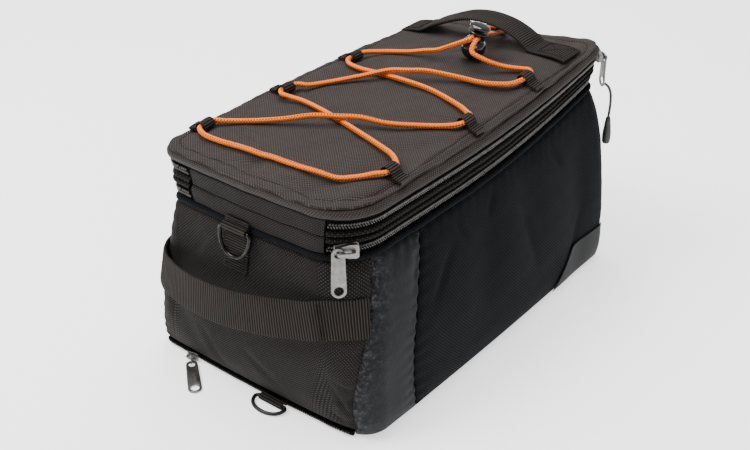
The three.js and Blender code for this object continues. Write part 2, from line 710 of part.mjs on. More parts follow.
for (const loop of Object.values(LOOPS)) {
  const x = loop.side * (lidWidth / 2 - loop.fromEdge);
  const yaw = loop.side > 0 ? 0 : 180;
  loop.frame = lidFrame(x, loop.along * bagLength / 2, yaw, loopReach / 2, loopWidth / 2);
  add(webbingLoop(loop.name, loop.frame, loopReach, loopWidth));
}
const anchorFrame = lidFrame(anchorX, topHandleY + anchorBehind, anchorYaw, anchorReach / 2, anchorWidth / 2);
add(webbingLoop('cord_anchor', anchorFrame, anchorReach, anchorWidth));

// Cord lock: a ball with a neck, a collar and a through slot, and a press button with its stem.
// Its frame has +X across the two cords, +Y along them to the rear and +Z along the button.
const ballRadius = ballDiameter / 2;
const neckRadius = neckDiameter / 2;
const headRadius = lockHeadDiameter / 2;
const lockLean = V(0.22, 0.18, 0.96).normalize();
const lockHeading = V(-0.24, 0.96, 0);
const lockAcross = lockHeading.clone().cross(lockLean).normalize();
const lockY = topHandleY - lockBefore;
const lockSeat = lidTop(lockX, lockY) + ballRadius + gap * 2;
const lockFrame = new THREE.Matrix4()
  .makeBasis(lockAcross, lockLean.clone().cross(lockAcross), lockLean)
  .setPosition(lockX, lockY, lockSeat);
const slotHalfHeight = cordRadius + gap * 1.5;
const slotLevel = ballRadius - cordRadius * 0.5;
const collarBottom = slotLevel + slotHalfHeight + lockSlotRoof;
const collarTop = collarBottom + lockCollar;
const stemRadius = lockStemDiameter / 2;
const stemBottom = slotLevel + cordRadius + gap + lockTravel;
const headBottom = collarTop + lockTravel + lockHeadLift;

const wasm = await Module();
wasm.setup();

function toManifold(geometry) {
  const bare = geometry.clone();
  bare.deleteAttribute('normal');
  bare.deleteAttribute('uv');
  const merged = mergeVertices(bare, 1e-4);
  return new wasm.Manifold(new wasm.Mesh({
    numProp: 3,
    vertProperties: new Float32Array(merged.attributes.position.array),
    triVerts: new Uint32Array(merged.index.array),
  }));
}

function fromManifold(manifold) {
  const mesh = manifold.getMesh();
  const geometry = new THREE.BufferGeometry();
  geometry.setAttribute('position', new THREE.Float32BufferAttribute(mesh.vertProperties, 3));
  geometry.setIndex(Array.from(mesh.triVerts));
  return geometry;
}

function turned(profile, sides) {
  const points = profile.map(([radius, height]) => new THREE.Vector2(radius, height));
  return new THREE.LatheGeometry(points, sides).rotateX(QUARTER);
}

function lockBarrel() {
  const profile = [[0, -ballRadius]];
  const shoulder = Math.acos(neckRadius / ballRadius);
  for (const angle of steps(-QUARTER * 0.72, shoulder, 6)) {
    profile.push([ballRadius * Math.cos(angle), ballRadius * Math.sin(angle)]);
  }
  profile.push([neckRadius, collarBottom], [headRadius - lockRim * 2, collarBottom + lockRim]);
  profile.push([headRadius - lockRim, collarTop - lockRim * 1.5]);
  profile.push([headRadius - lockRim * 3.5, collarTop], [0, collarTop]);
  const slot = new THREE.BoxGeometry(cordDiameter * 2 + lockSlotPlay, ballDiameter * 2, slotHalfHeight * 2);
  slot.translate(0, 0, slotLevel);
  const boreDepth = collarTop - slotLevel + 1;
  const boreRadius = stemRadius + lockFit;
  const bore = new THREE.CylinderGeometry(boreRadius, boreRadius, boreDepth, lockSides);
  bore.rotateX(QUARTER).translate(0, 0, slotLevel + boreDepth / 2);
  const ball = toManifold(turned(profile, lockSides));
  return fromManifold(ball.subtract(toManifold(slot)).subtract(toManifold(bore)));
}

function lockButton() {
  return turned([
    [0, stemBottom], [stemRadius, stemBottom], [stemRadius, headBottom],
    [headRadius - lockRim * 2.5, headBottom],
    [headRadius, headBottom + lockRim * 2], [headRadius - lockRim * 1.5, headBottom + lockHead * 0.62],
    [headRadius * 0.55, headBottom + lockHead * 0.94], [0, headBottom + lockHead],
  ], lockSides);
}

add(
  placed(solid('cord_lock_barrel', lockBarrel(), BLACK_PLASTIC), lockFrame),
  placed(solid('cord_lock_button', lockButton(), BLACK_PLASTIC), lockFrame),
);

// The elastic cord is one lace. Its stops are x, y and the lift above where it would rest on the lid.
const cordSeat = cordRadius + cordRest;
const crossing = cordDiameter + gap * 2;
const stopAt = (point) => [point.x, point.y, point.z - lidTop(point.x, point.y) - cordSeat];
const inSlot = (side, along) => {
  const point = V(side * (cordRadius + gap), along, slotLevel);
  return stopAt(point.applyMatrix4(lockFrame));
};
const neckReach = neckRadius + cordDiameter;

// Three stops through a loop, in the direction of travel: 1 to the rear of the bag, -1 to the front
function throughLoop(loop, direction) {
  const side = direction * loop.side;
  const hole = -loopReach / 2 + loopWall + loopHoleWidth / 2;
  return [-1, 0, 1].map((step) => {
    const along = side * step * (loopWidth / 2 + loopOverrun);
    return stopAt(V(hole, along, loopWall + loopHoleHeight / 2).applyMatrix4(loop.frame));
  });
}

function inAnchor(along) {
  const hole = -anchorReach / 2 + loopWall + loopHoleWidth / 2;
  return stopAt(V(hole, along, loopWall + loopHoleHeight / 2).applyMatrix4(anchorFrame));
}

const CORD_ROUTE = [
  inAnchor(-gap), inAnchor(-anchorWidth / 2 - 1),
  [5, 157.5, 2.5], [8, 150, 3.5], [13, 126, 7], [17.5, 108, 12],
  inSlot(1, neckReach), inSlot(1, neckRadius / 2), inSlot(1, -neckRadius / 2), inSlot(1, -neckReach),
  [31, 66, 12], [42, 69, 7], [54, 77, 2.5], [65, 85, 1], [73, 89, 1],
  ...throughLoop(LOOPS.rightRear, -1),
  [74, 61, 1], [66, 55, 0.5], [54, 48, 0.3], [32, 39, 1.5], [10, 28.5, crossing], [-3, 22, crossing],
  [-16, 15, crossing], [-34, 2, 1], [-50, -20, 0], [-61, -36, 0.5], [-67, -40, 1.5],
  ...throughLoop(LOOPS.leftMiddle, -1),
  [-66, -62, 1], [-56, -62, 0.3], [-43, -62, 0], [-18, -67, 0], [21, -77, 0], [48, -84, 0], [67, -90, 0.5],
  [74, -95, 1.2],
  ...throughLoop(LOOPS.rightFront, -1),
  [75, -121, 1], [68, -130, 0.5], [50, -140, 0], [29, -145, 0], [-3, -147, 0], [-29, -149, 0], [-51, -151, 0],
  [-66, -150.5, 0.8],
  ...throughLoop(LOOPS.leftFront, 1),
  [-69, -126, 1], [-60, -119, 0.4], [-48, -110, 0.2], [-32, -98, 1.2], [-13, -86, crossing],
  [3, -75.5, crossing], [18, -66, crossing], [36, -55, 1.2], [56, -40, 0.2], [70, -29, 0.5], [76, -23, 1],
  ...throughLoop(LOOPS.rightMiddle, 1),
  [72, 0, 1], [64, 4, 0.5], [50, 8, 0], [28, 12, 0], [-4, 14, 0], [-29, 15, 0], [-46, 15, 0.3],
  [-60, 18, 0.8], [-66.5, 23, 1.4],
  ...throughLoop(LOOPS.leftRear, 1),
  [-66, 47, 1.2], [-59, 54, 0.5], [-48, 61, 0], [-33, 66, 0.4], [-18, 70, 2.5], [-4, 71.5, 6], [8, 69, 11],
  inSlot(-1, -neckReach), inSlot(-1, -neckRadius / 2), inSlot(-1, neckRadius / 2), inSlot(-1, neckReach),
  [9, 108, 12], [1, 126, 7], [-8.5, 150, 3.5], [-9, 157.5, 2.5], inAnchor(anchorWidth / 2 + 1), inAnchor(gap),
];

function bungeeCord() {
  const stops = CORD_ROUTE.map(([x, y, lift]) => V(x, y, lift));
  const plan = new THREE.CatmullRomCurve3(stops, false, 'centripetal');
  const count = Math.round(plan.getLength() / cordStep);
  const route = plan.getSpacedPoints(count).map(({ x, y, z }) => V(x, y, lidTop(x, y) + cordSeat + z));
  const section = new THREE.Shape(steps(0, 2 * Math.PI, cordSides).slice(0, -1).map((angle) => (
    new THREE.Vector2(cordRadius * Math.cos(angle), cordRadius * Math.sin(angle))
  )));
  const extrudePath = new THREE.CatmullRomCurve3(route, false, 'centripetal');
  return new THREE.ExtrudeGeometry(section, { steps: count, extrudePath, bevelEnabled: false });
}
add(solid('bungee_cord', bungeeCord(), ORANGE));

// Straps: a list of cross-sections, each with its lower and upper edge, inner and outer side
function strap(name, rings, finish) {
  const section = [[0, 0], [1, 0], [1, 1], [0, 1]];
  return solid(name, sweep(rings, section, false), finish);
}

// Carrying handle across the rear of the lid. Reach is a share of the half span, rise of its height.
const TOP_HANDLE = [
  { reach: 1.00, rise: 0.00, grip: 0 },
  { reach: 0.82, rise: 0.00, grip: 0 },
  { reach: 0.67, rise: 0.02, grip: 0 },
  { reach: 0.58, rise: 0.14, grip: 0.4 },
  { reach: 0.49, rise: 0.38, grip: 1 },
  { reach: 0.38, rise: 0.62, grip: 1 },
  { reach: 0.22, rise: 0.86, grip: 1 },
  { reach: 0.00, rise: 1.00, grip: 1 },
  { reach: -0.22, rise: 0.95, grip: 1 },
  { reach: -0.40, rise: 0.74, grip: 1 },
  { reach: -0.60, rise: 0.42, grip: 1 },
  { reach: -0.76, rise: 0.12, grip: 0.4 },
  { reach: -0.86, rise: 0.00, grip: 0 },
  { reach: -1.00, rise: 0.00, grip: 0 },
];

function topHandle() {
  const half = webbingWidth / 2;
  const rightFoot = lidTop(topHandleSpan / 2, topHandleY);
  const leftFoot = lidTop(-topHandleSpan / 2, topHandleY);
  const rings = TOP_HANDLE.map((row, i) => {
    const before = TOP_HANDLE[Math.max(i - 1, 0)];
    const after = TOP_HANDLE[Math.min(i + 1, TOP_HANDLE.length - 1)];
    const run = (after.reach - before.reach) * topHandleSpan / 2;
    const climb = (after.rise - before.rise) * topHandleRise;
    const normal = V(-climb, 0, run).normalize();
    if (normal.z < 0) normal.negate();
    const thickness = mix(webbingThickness, gripThickness, row.grip);
    const x = row.reach * topHandleSpan / 2;
    const edge = (side, layer) => {
      const y = topHandleY + side * half;
      const arch = mix(leftFoot, rightFoot, (row.reach + 1) / 2) + row.rise * topHandleRise;
      const level = row.rise > 0 ? Math.max(arch, lidTop(x, y)) : lidTop(x, y);
      return V(x, y, level + topHandleSeat).addScaledVector(normal, layer * thickness);
    };
    return [edge(-1, 0), edge(1, 0), edge(1, 1), edge(-1, 1)];
  });
  return strap('top_handle', rings, WEBBING);
}
add(topHandle());

// Webbing handle across the front, sewn in at both corner seams and bowed out between them.
// Its right end is sewn in just under the zip pull. Stand is a share of frontHandleBow, fall a share
// of frontHandleFall, by which the other end is lower.
const FRONT_HANDLE = [
  { walk: 7.68, stand: 0.00, fall: 0.00 }, { walk: 7.54, stand: 0.00, fall: 0.00 },
  { walk: 7.40, stand: 0.02, fall: 0.00 }, { walk: 7.24, stand: 0.08, fall: 0.02 },
  { walk: 7.08, stand: 0.24, fall: 0.08 }, { walk: 6.92, stand: 0.50, fall: 0.22 },
  { walk: 6.74, stand: 0.80, fall: 0.40 }, { walk: 6.52, stand: 1.00, fall: 0.60 },
  { walk: 6.30, stand: 0.96, fall: 0.76 }, { walk: 6.12, stand: 0.76, fall: 0.86 },
  { walk: 5.97, stand: 0.48, fall: 0.92 }, { walk: 5.76, stand: 0.26, fall: 0.95 },
  { walk: 5.56, stand: 0.10, fall: 0.97 }, { walk: 5.36, stand: 0.02, fall: 0.98 },
  { walk: 5.20, stand: 0.00, fall: 1.00 },
];

function frontHandle() {
  const pullEnd = lowerCoil + sliderLift - pullLength + pullWidth * pullTopShare;
  const rings = FRONT_HANDLE.map((row) => {
    const middle = pullEnd - frontPullClearance - webbingWidth / 2 - row.fall * frontHandleFall;
    const edge = (side, layer) => {
      const stand = row.stand * frontHandleBow + frontHandleSeat + layer * webbingThickness;
      return wallPoint(row.walk, middle + side * webbingWidth / 2, -stand);
    };
    return [edge(-1, 0), edge(1, 0), edge(1, 1), edge(-1, 1)];
  });
  return strap('front_handle', rings, WEBBING);
}
add(frontHandle());

// Frame of a piece on the wall: +X along the walk, +Y into the bag, +Z up
function wallFrame(walk, height, stand) {
  const inward = outward(walk, height).negate();
  const at = wallPoint(walk, height, 0).addScaledVector(inward, -stand);
  return new THREE.Matrix4().makeBasis(inward.clone().cross(UP), inward, UP).setPosition(at);
}

// Turn about X that lets a piece hang away from its seat by an angle in degrees
const leanOut = (degrees) => new THREE.Matrix4().makeRotationX(THREE.MathUtils.degToRad(-degrees));

// Slope of the wall below a height, in degrees
function wallSlope(walk, height, drop) {
  const upper = wallPoint(walk, height, 0);
  const lower = wallPoint(walk, height - drop, 0);
  const out = lower.sub(upper).dot(outward(walk, height));
  return THREE.MathUtils.radToDeg(Math.atan2(out, drop));
}

// A thin piece of cloth or film laid on the wall between two walks and two heights
function wallPatch(name, walks, heights, stand, thickness, finish) {
  const grid = (layer) => heights.map((height) => (
    walks(height).map((walk) => wallPoint(walk, height, -stand - layer))
  ));
  return solid(name, plate(grid(thickness), grid(0)), finish);
}

// D-ring with its straight bar on the X axis, hanging towards -Z in the XZ plane
function dRing(width, depth) {
  const r = ringWire / 2;
  const half = width / 2 - r;
  const drop = depth - r * 2;
  const path = [
    ...steps(-half + r, half - r, 3).map((x) => [x, 0]),
    ...steps(0, Math.PI, 10).map((angle) => [
      half * Math.cos(angle),
      -drop * Math.sin(angle) ** 0.8 - r * 0.6,
    ]),
  ];
  const rings = path.map(([x, z], i) => {
    const [px, pz] = path[(i + path.length - 1) % path.length];
    const [nx, nz] = path[(i + 1) % path.length];
    const tangent = V(nx - px, 0, nz - pz).normalize();
    const side = V(tangent.z, 0, -tangent.x);
    return steps(0, 2 * Math.PI, 6).slice(0, -1).map((angle) => V(x, 0, z)
      .addScaledVector(side, r * Math.cos(angle)).addScaledVector(V(0, 1, 0), r * Math.sin(angle)));
  });
  return sweep(rings, rings[0].map((p) => [p.x, p.y]), true);
}

// Webbing tab whose eye holds the ring's bar; its tongue goes up the wall side to the seam
const tabRadius = ringWire / 2 + ringPlay + tabWall;

function ringTab(tongue) {
  const shape = new THREE.Shape();
  const side = tabRadius - tabWall * 2;
  const turn = Math.acos(side / tabRadius);
  shape.moveTo(tabRadius, tongue);
  shape.lineTo(side, tongue);
  for (const angle of steps(turn, 2 * Math.PI, 11)) {
    shape.lineTo(tabRadius * Math.cos(angle), tabRadius * Math.sin(angle));
  }
  const eye = new THREE.Path();
  eye.absarc(0, 0, ringWire / 2 + ringPlay, 0.1, 2 * Math.PI + 0.1, true);
  shape.holes.push(eye);
  const options = { depth: tabWidth, bevelEnabled: false, curveSegments: 10 };
  const geometry = new THREE.ExtrudeGeometry(shape, options);
  // The drawing's x is the piece's +Y, its y the piece's +Z, and its depth the piece's X
  return geometry.translate(0, 0, -tabWidth / 2)
    .applyMatrix4(new THREE.Matrix4().makeBasis(V(0, 1, 0), V(0, 0, 1), V(1, 0, 0)));
}

const ringBarHeight = lowerZipBottom - tabRadius - gap;
const ringStand = edgeRoll + tabRadius + ringSeat;
const ringWalk = frontWalk(ringX, ringBarHeight);
const tabFrame = wallFrame(ringWalk, ringBarHeight, ringStand);
const ringFrame = tabFrame.clone().multiply(leanOut(wallSlope(ringWalk, ringBarHeight, ringDepth)));
add(
  placed(solid('d_ring', dRing(ringWidth, ringDepth), DARK_METAL), ringFrame),
  placed(solid('d_ring_tab', ringTab(tabTongue), WEBBING), tabFrame),
);

const tailTop = bodyHeight - gap * 3;
const tailBottom = tailTop - tailLength;
add(wallPatch(
  'webbing_tail',
  (height) => steps(frontWalk(ringX - tabWidth / 2, height), frontWalk(ringX + tabWidth / 2, height), 2),
  steps(tailBottom, tailTop, 3), gap * 2, tailThickness, WEBBING,
));

const baseRingWalk = frontWalk(baseRingX, 0);
const baseRingOut = wallPoint(baseRingWalk, baseZipHeight, -edgeRoll).y - tabRadius + baseRingTuck;
const baseRingTilt = Math.asin((tabRadius - ringWire / 2) / (baseRingDepth - ringWire));
const baseRingFrame = new THREE.Matrix4()
  .makeTranslation(baseRingX, baseRingOut, tabRadius + gap / 2)
  .multiply(new THREE.Matrix4().makeRotationX(-QUARTER + baseRingTilt));
add(
  placed(solid('base_ring', dRing(ringWidth, baseRingDepth), BLACK_PLASTIC), baseRingFrame),
  placed(solid('base_ring_tab', ringTab(tabRadius), WEBBING), baseRingFrame),
);

// Zip slider with its crown; the crown's leg at -X passes through the pull's eye
const legX = sliderLength / 2 - crownWire;
const crownGap = pullThickness + crownPlay * 2;

function slider(length, width, thickness) {
  const plan = new THREE.Shape();
  plan.moveTo(-length / 2, -width * 0.32);
  plan.lineTo(-length / 2, width * 0.32);
  plan.quadraticCurveTo(-length * 0.2, width * 0.36, length * 0.12, width / 2);
  plan.lineTo(length / 2, width / 2);
  plan.lineTo(length / 2, -width / 2);
  plan.lineTo(length * 0.12, -width / 2);
  plan.quadraticCurveTo(-length * 0.2, -width * 0.36, -length / 2, -width * 0.32);
  const body = new THREE.ExtrudeGeometry(plan, { depth: thickness, bevelEnabled: false, curveSegments: 3 });
  body.applyMatrix4(new THREE.Matrix4().makeBasis(V(1, 0, 0), V(0, 0, 1), V(0, -1, 0)));
  const arch = new THREE.Shape();
  const tall = crownGap + crownWire;
  arch.moveTo(-legX - crownWire / 2, -crownRoot);
  arch.lineTo(-legX - crownWire / 2, tall * 0.8);
  arch.lineTo(-legX + crownWire * 0.4, tall);
  arch.lineTo(legX * 0.4, tall);
  arch.lineTo(legX, tall * 0.7);
  arch.lineTo(legX, -crownRoot);
  arch.lineTo(legX - crownWire * 1.6, -crownRoot);
  arch.lineTo(legX - crownWire * 1.6, crownGap * 0.7);
  arch.lineTo(legX * 0.3, crownGap);
  arch.lineTo(-legX + crownWire / 2, crownGap);
  arch.lineTo(-legX + crownWire / 2, -crownRoot);
  const crown = new THREE.ExtrudeGeometry(arch, { depth: crownWire, bevelEnabled: false });
  crown.translate(0, 0, -crownWire / 2)
    .applyMatrix4(new THREE.Matrix4().makeBasis(V(1, 0, 0), V(0, -1, 0), V(0, 0, -1)))
    .translate(0, -thickness, 0);
  return fromManifold(toManifold(body).add(toManifold(crown)));
}

// Pull hanging from the leg: its plate lies in the XZ plane with the leg's axis through the origin
const legReach = crownWire * 0.5 * Math.SQRT2;
const eyeRadius = legReach + crownPlay + eyeRoom;
const eyeDrop = eyeRadius - legReach - crownPlay;

function pull(length, width, thickness) {
  const top = width * pullTopShare;
  const bottom = width / 2;
  const start = top - eyeDrop;
  const end = -length + start + bottom;
  const plan = new THREE.Shape();
  plan.absarc(0, -eyeDrop, top, 0, Math.PI, false);
  plan.absarc(0, end, bottom, Math.PI, 2 * Math.PI, false);
  const eye = new THREE.Path();
  eye.absarc(0, -eyeDrop, eyeRadius, 0.1, 2 * Math.PI + 0.1, true);
  const grip = new THREE.Path();
  grip.absarc(0, end, width * pullHoleShare, 0.1, 2 * Math.PI + 0.1, true);
  plan.holes.push(eye, grip);
  const options = { depth: thickness, bevelEnabled: false, curveSegments: 6 };
  const geometry = new THREE.ExtrudeGeometry(plan, options);
  return geometry.applyMatrix4(new THREE.Matrix4().makeBasis(V(1, 0, 0), V(0, 0, 1), V(0, -1, 0)));
}

function zipSet(name, frame, lean, length) {
  add(placed(solid(`${name}_slider`, slider(sliderLength, sliderWidth, sliderThickness), SILVER), frame));
  const hang = new THREE.Matrix4().makeTranslation(-legX, -sliderThickness - crownPlay, 0)
    .multiply(leanOut(lean));
  const pullFrame = frame.clone().multiply(hang);
  add(placed(solid(`${name}_pull`, pull(length, pullWidth, pullThickness), SILVER), pullFrame));
  return pullFrame;
}

const frontZipFrame = wallFrame(frontSliderWalk, lowerCoil + sliderLift, zipCoil + sliderSeat);
const rearZipFrame = wallFrame(rearSliderWalk, upperCoil, zipCoil + rearSliderSeat);
zipSet('front', frontZipFrame, frontPullLean, pullLength);
const rearPullFrame = zipSet('rear', rearZipFrame, 0, rearPullLength);

// Base zip: a smaller slider, a wire link through its crown, and a pull that lies on the ground
const baseSliderZ = baseSliderScale * sliderWidth / 2 + gap;
const baseSlider = slider(sliderLength, sliderWidth, sliderThickness)
  .applyMatrix4(new THREE.Matrix4().makeScale(baseSliderScale, baseSliderScale, baseSliderScale));
const baseWalk = frontWalk(baseSliderFromSide - baseWidth / 2, 0);
const baseSliderAt = wallPoint(baseWalk, baseZipHeight, -edgeRoll + baseSliderTuck);
const baseFacing = outward(baseWalk, 0);
const baseFrame = new THREE.Matrix4()
  .makeBasis(UP.clone().cross(baseFacing), baseFacing.clone().negate(), UP)
  .setPosition(baseSliderAt.x, baseSliderAt.y, baseSliderZ);
const crownReach = (sliderThickness + crownGap / 2) * baseSliderScale;
const heading = new THREE.Vector3(0, -1, 0).applyAxisAngle(UP, THREE.MathUtils.degToRad(basePullHeading));
const linkAt = baseSliderAt.clone()
  .addScaledVector(baseFacing, crownReach)
  .addScaledVector(heading, linkRadius)
  .setZ(linkRadius + linkWire / 2 + gap / 2);

function wireLink() {
  const wire = linkWire / 2;
  const section = steps(0, 2 * Math.PI, 6).slice(0, -1).map((angle) => [
    linkRadius + wire * Math.cos(angle),
    wire * Math.sin(angle),
  ]);
  const rings = steps(0, 2 * Math.PI, 14).slice(0, -1).map((turn) => section.map(([out, side]) => (
    V(side, out * Math.cos(turn), out * Math.sin(turn))
  )));
  return sweep(rings, section, true);
}

const eyeRim = (pullWidth * pullTopShare + eyeRadius) / 2 - eyeDrop;
const linkFrame = new THREE.Matrix4().makeBasis(heading.clone().cross(UP), heading, UP).setPosition(linkAt);
const basePullTop = linkAt.z - linkRadius + linkWire / 2 + gap * 2;
const basePullPitch = Math.asin((basePullTop - gap / 2) / (pullLength * 0.95));
const basePullFrame = new THREE.Matrix4()
  .makeBasis(heading.clone().cross(UP).negate(), UP.clone().negate(), heading.clone().negate())
  .setPosition(linkAt.clone().addScaledVector(heading, eyeRim + gap * 3).setZ(basePullTop))
  .multiply(new THREE.Matrix4().makeRotationX(basePullPitch));
add(
  placed(solid('base_slider', baseSlider, SILVER), baseFrame),
  placed(solid('base_link', wireLink(), SILVER), linkFrame),
  placed(solid('base_pull', pull(pullLength, pullWidth, pullThickness), SILVER), basePullFrame),
);

// Pull cord and its grip hang from the rear pull's lower hole
const pullHole = -rearPullLength + pullWidth * pullTopShare + pullWidth / 2;
const pullCordTop = pullHole - pullWidth * pullHoleShare - pullCordDiameter * 0.2;
const pullCordStand = pullThickness + pullCordDiameter / 2 + gap;
const PULL_CORD = [[0, 0], [-4, -3], [-7.2, -10], [-8.2, -20], [-7.6, -33]];

function hangingCord() {
  const route = PULL_CORD.map(([out, drop]) => V(0, out - pullCordStand, pullCordTop + drop));
  const section = new THREE.Shape();
  section.absarc(0, 0, pullCordDiameter / 2, 0, 2 * Math.PI, false);
  return new THREE.ExtrudeGeometry(section, {
    steps: 10, extrudePath: new THREE.CatmullRomCurve3(route), bevelEnabled: false, curveSegments: 4,
  });
}
add(placed(solid('pull_cord', hangingCord(), WEBBING), rearPullFrame));

// Grip moulded on the end of the pull cord
function cordGrip() {
  const profile = [
    [0, -gripLength], [0.5, -gripLength], [0.9, -gripLength * 0.93], [1, -gripLength * 0.7],
    [0.8, -gripLength * 0.4], [0.62, -gripLength * 0.15], [0.45, 0], [0, 0],
  ].map(([share, height]) => [share * gripWidth / 2, height]);
  const [lastOut, lastDrop] = PULL_CORD[PULL_CORD.length - 1];
  return turned(profile, 12).translate(0, lastOut - pullCordStand, pullCordTop + lastDrop - gap * 3);
}
add(placed(solid('pull_grip', cordGrip(), BLACK_PLASTIC), rearPullFrame));

// Plain slanted reflective patch at the rear of the right side, low down: its lower and upper edge as
// shares of the body's height, and for each end the walk at the floor and the walk gained by the top
const PATCH = { low: 0.03, high: 0.24, start: 0.74, startLean: 0.5, end: 1.28, endLean: -0.1 };

function patchWalks(height) {
  const up = height / bodyHeight;
  return steps(PATCH.start + PATCH.startLean * up, PATCH.end + PATCH.endLean * up, 8);
}
const patchHeights = steps(bodyHeight * PATCH.low, bodyHeight * PATCH.high, 4);
add(wallPatch('reflective_patch', patchWalks, patchHeights, patchStand, patchThickness, REFLECTIVE));

export default bag;
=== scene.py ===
# %% [markdown]
# A soft trunk bag for a bicycle carrier, dressed as a lesson. The bag's shape is known already, so
# every cloth piece here is the same surface worked out again on a finer grid, with its folds and seams.

import math

import bmesh
import bpy
import numpy as np
from mathutils import Matrix, Vector


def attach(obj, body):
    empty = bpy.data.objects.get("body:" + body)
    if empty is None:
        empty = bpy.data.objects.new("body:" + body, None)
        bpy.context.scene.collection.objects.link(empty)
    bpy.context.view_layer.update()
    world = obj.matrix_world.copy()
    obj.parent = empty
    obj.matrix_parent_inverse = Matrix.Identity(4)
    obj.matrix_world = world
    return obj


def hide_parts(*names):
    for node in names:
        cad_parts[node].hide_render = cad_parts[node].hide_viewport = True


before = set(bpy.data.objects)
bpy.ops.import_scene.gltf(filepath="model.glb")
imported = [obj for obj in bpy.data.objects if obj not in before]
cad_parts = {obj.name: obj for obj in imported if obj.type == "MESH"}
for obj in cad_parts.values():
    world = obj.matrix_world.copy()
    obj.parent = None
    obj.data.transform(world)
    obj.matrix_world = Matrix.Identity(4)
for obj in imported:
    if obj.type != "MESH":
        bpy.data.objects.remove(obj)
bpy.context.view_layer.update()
MM = 0.001

# %% [markdown]
# The camera comes first. It stands in front of the bag's right corner and looks down at it by about
# thirty degrees. The lens is given in millimetres on a sensor 36 mm wide.

# %% Camera
CAMERA_AT = (0.5525, -0.7291, 0.6203)
CAMERA_TARGET = (0.013, -0.041, 0.097)
LENS = 59.1

camera = bpy.data.objects.new("camera", bpy.data.cameras.new("camera"))
bpy.context.scene.collection.objects.link(camera)
camera.data.lens = LENS
camera.data.sensor_width = 36
camera.location = CAMERA_AT
look = Vector(CAMERA_TARGET) - Vector(CAMERA_AT)
camera.rotation_mode = "QUATERNION"
camera.rotation_quaternion = look.to_track_quat("-Z", "Y")
bpy.context.scene.camera = camera
print("camera", round(look.length, 3), "m from its target")

# %% [markdown]
# A product photo like this one is lit by large soft boxes over a white sheet. The floor is a wide
# pale plane, the world gives an even fill, and area lights draw the soft highlights on the cloth.

# %% Stage and lights
FLOOR_SIZE = 12
LIGHTS = {
    "key": {"at": (-0.8, -0.9, 1.8), "size": 1.0, "power": 56},
    "top": {"at": (-0.3, 0.5, 2.0), "size": 1.5, "power": 56},
    "side": {"at": (1.7, -0.9, 0.9), "size": 0.6, "power": 5},
}
WORLD_LIGHT = 0.4
FLOOR_GLOW = 1.15


def plain_material(name, colour, roughness):
    """A Principled material of one colour, for the stage."""
    material = bpy.data.materials.new(name)
    material.use_nodes = True
    shader = material.node_tree.nodes["Principled BSDF"]
    shader.inputs["Base Color"].default_value = (*colour, 1)
    shader.inputs["Roughness"].default_value = roughness
    return material


floor_mesh = bpy.data.meshes.new("floor")
edge = FLOOR_SIZE / 2
floor_corners = [(-edge, -edge, 0), (edge, -edge, 0), (edge, edge, 0), (-edge, edge, 0)]
floor_mesh.from_pydata(floor_corners, [], [(0, 1, 2, 3)])
floor = bpy.data.objects.new("floor", floor_mesh)
bpy.context.scene.collection.objects.link(floor)
paper = plain_material("pale floor", (0.92, 0.92, 0.92), 0.9)
paper_shader = paper.node_tree.nodes["Principled BSDF"]
paper_shader.inputs["Emission Color"].default_value = (1, 1, 1, 1)
paper_shader.inputs["Emission Strength"].default_value = FLOOR_GLOW
floor_mesh.materials.append(paper)

for name, light in LIGHTS.items():
    lamp = bpy.data.objects.new(name + " light", bpy.data.lights.new(name, "AREA"))
    lamp.data.size = light["size"]
    lamp.data.energy = light["power"]
    lamp.location = light["at"]
    lamp.rotation_mode = "QUATERNION"
    lamp.rotation_quaternion = (Vector((0, 0, 0.1)) - lamp.location).to_track_quat("-Z", "Y")
    bpy.context.scene.collection.objects.link(lamp)

world = bpy.data.worlds.new("studio")
bpy.context.scene.world = world
world.use_nodes = True
world.node_tree.nodes["Background"].inputs["Color"].default_value = (1, 1, 1, 1)
world.node_tree.nodes["Background"].inputs["Strength"].default_value = WORLD_LIGHT
print("lights", ", ".join(LIGHTS))

# %% [markdown]
# The bag's own sizes, in millimetres. The outline at each height is a rounded rectangle whose width,
# ends and corners come from a short table, read with smooth steps between its rows.

# %% Sizes of the bag
BASE_WIDTH = 224
LID_WIDTH = 184
BAG_LENGTH = 348
BODY_HEIGHT = 143.5
WALL = 2.2
GAP = 0.3
FRONT_RIGHT_RADIUS = 40
FRONT_LEFT_RADIUS = 18
REAR_RADIUS = 26
REAR_TAPER = 9
REAR_RISE = 24
RISE_START = -0.14
RISE_RUN = 0.64
LEFT_SAG = 0.3
WALL_BOW = 2
FOLD_DEPTH = 5
FOLD_WIDTH = 13

HEM_HEIGHT = 5.5
ZIP_HEIGHT = 10.9
GUSSET_HEIGHT = 11
BORDER_HEIGHT = 8.2
BAND_DEPTH = 3.4
EDGE_ROLL = 1.9
FLAP_LEFT = 66
FLAP_RIGHT = 64
BASE_ZIP_HEIGHT = 6.4

LID_CROWN = 6.5
LID_SHOULDER = 10
LID_PUFF = 6
SHOULDER_SHARE = 0.42
LID_SQUARENESS = 5
LID_FOLD_DEPTH = 2.6
LID_FOLD_WIDTH = 8

STACK = HEM_HEIGHT + ZIP_HEIGHT * 2 + GUSSET_HEIGHT + BORDER_HEIGHT
SEAM_HEIGHT = BODY_HEIGHT + STACK
HEM_BOTTOM = BODY_HEIGHT
LOWER_ZIP = HEM_BOTTOM + HEM_HEIGHT
GUSSET = LOWER_ZIP + ZIP_HEIGHT
UPPER_ZIP = GUSSET + GUSSET_HEIGHT
BORDER = UPPER_ZIP + ZIP_HEIGHT

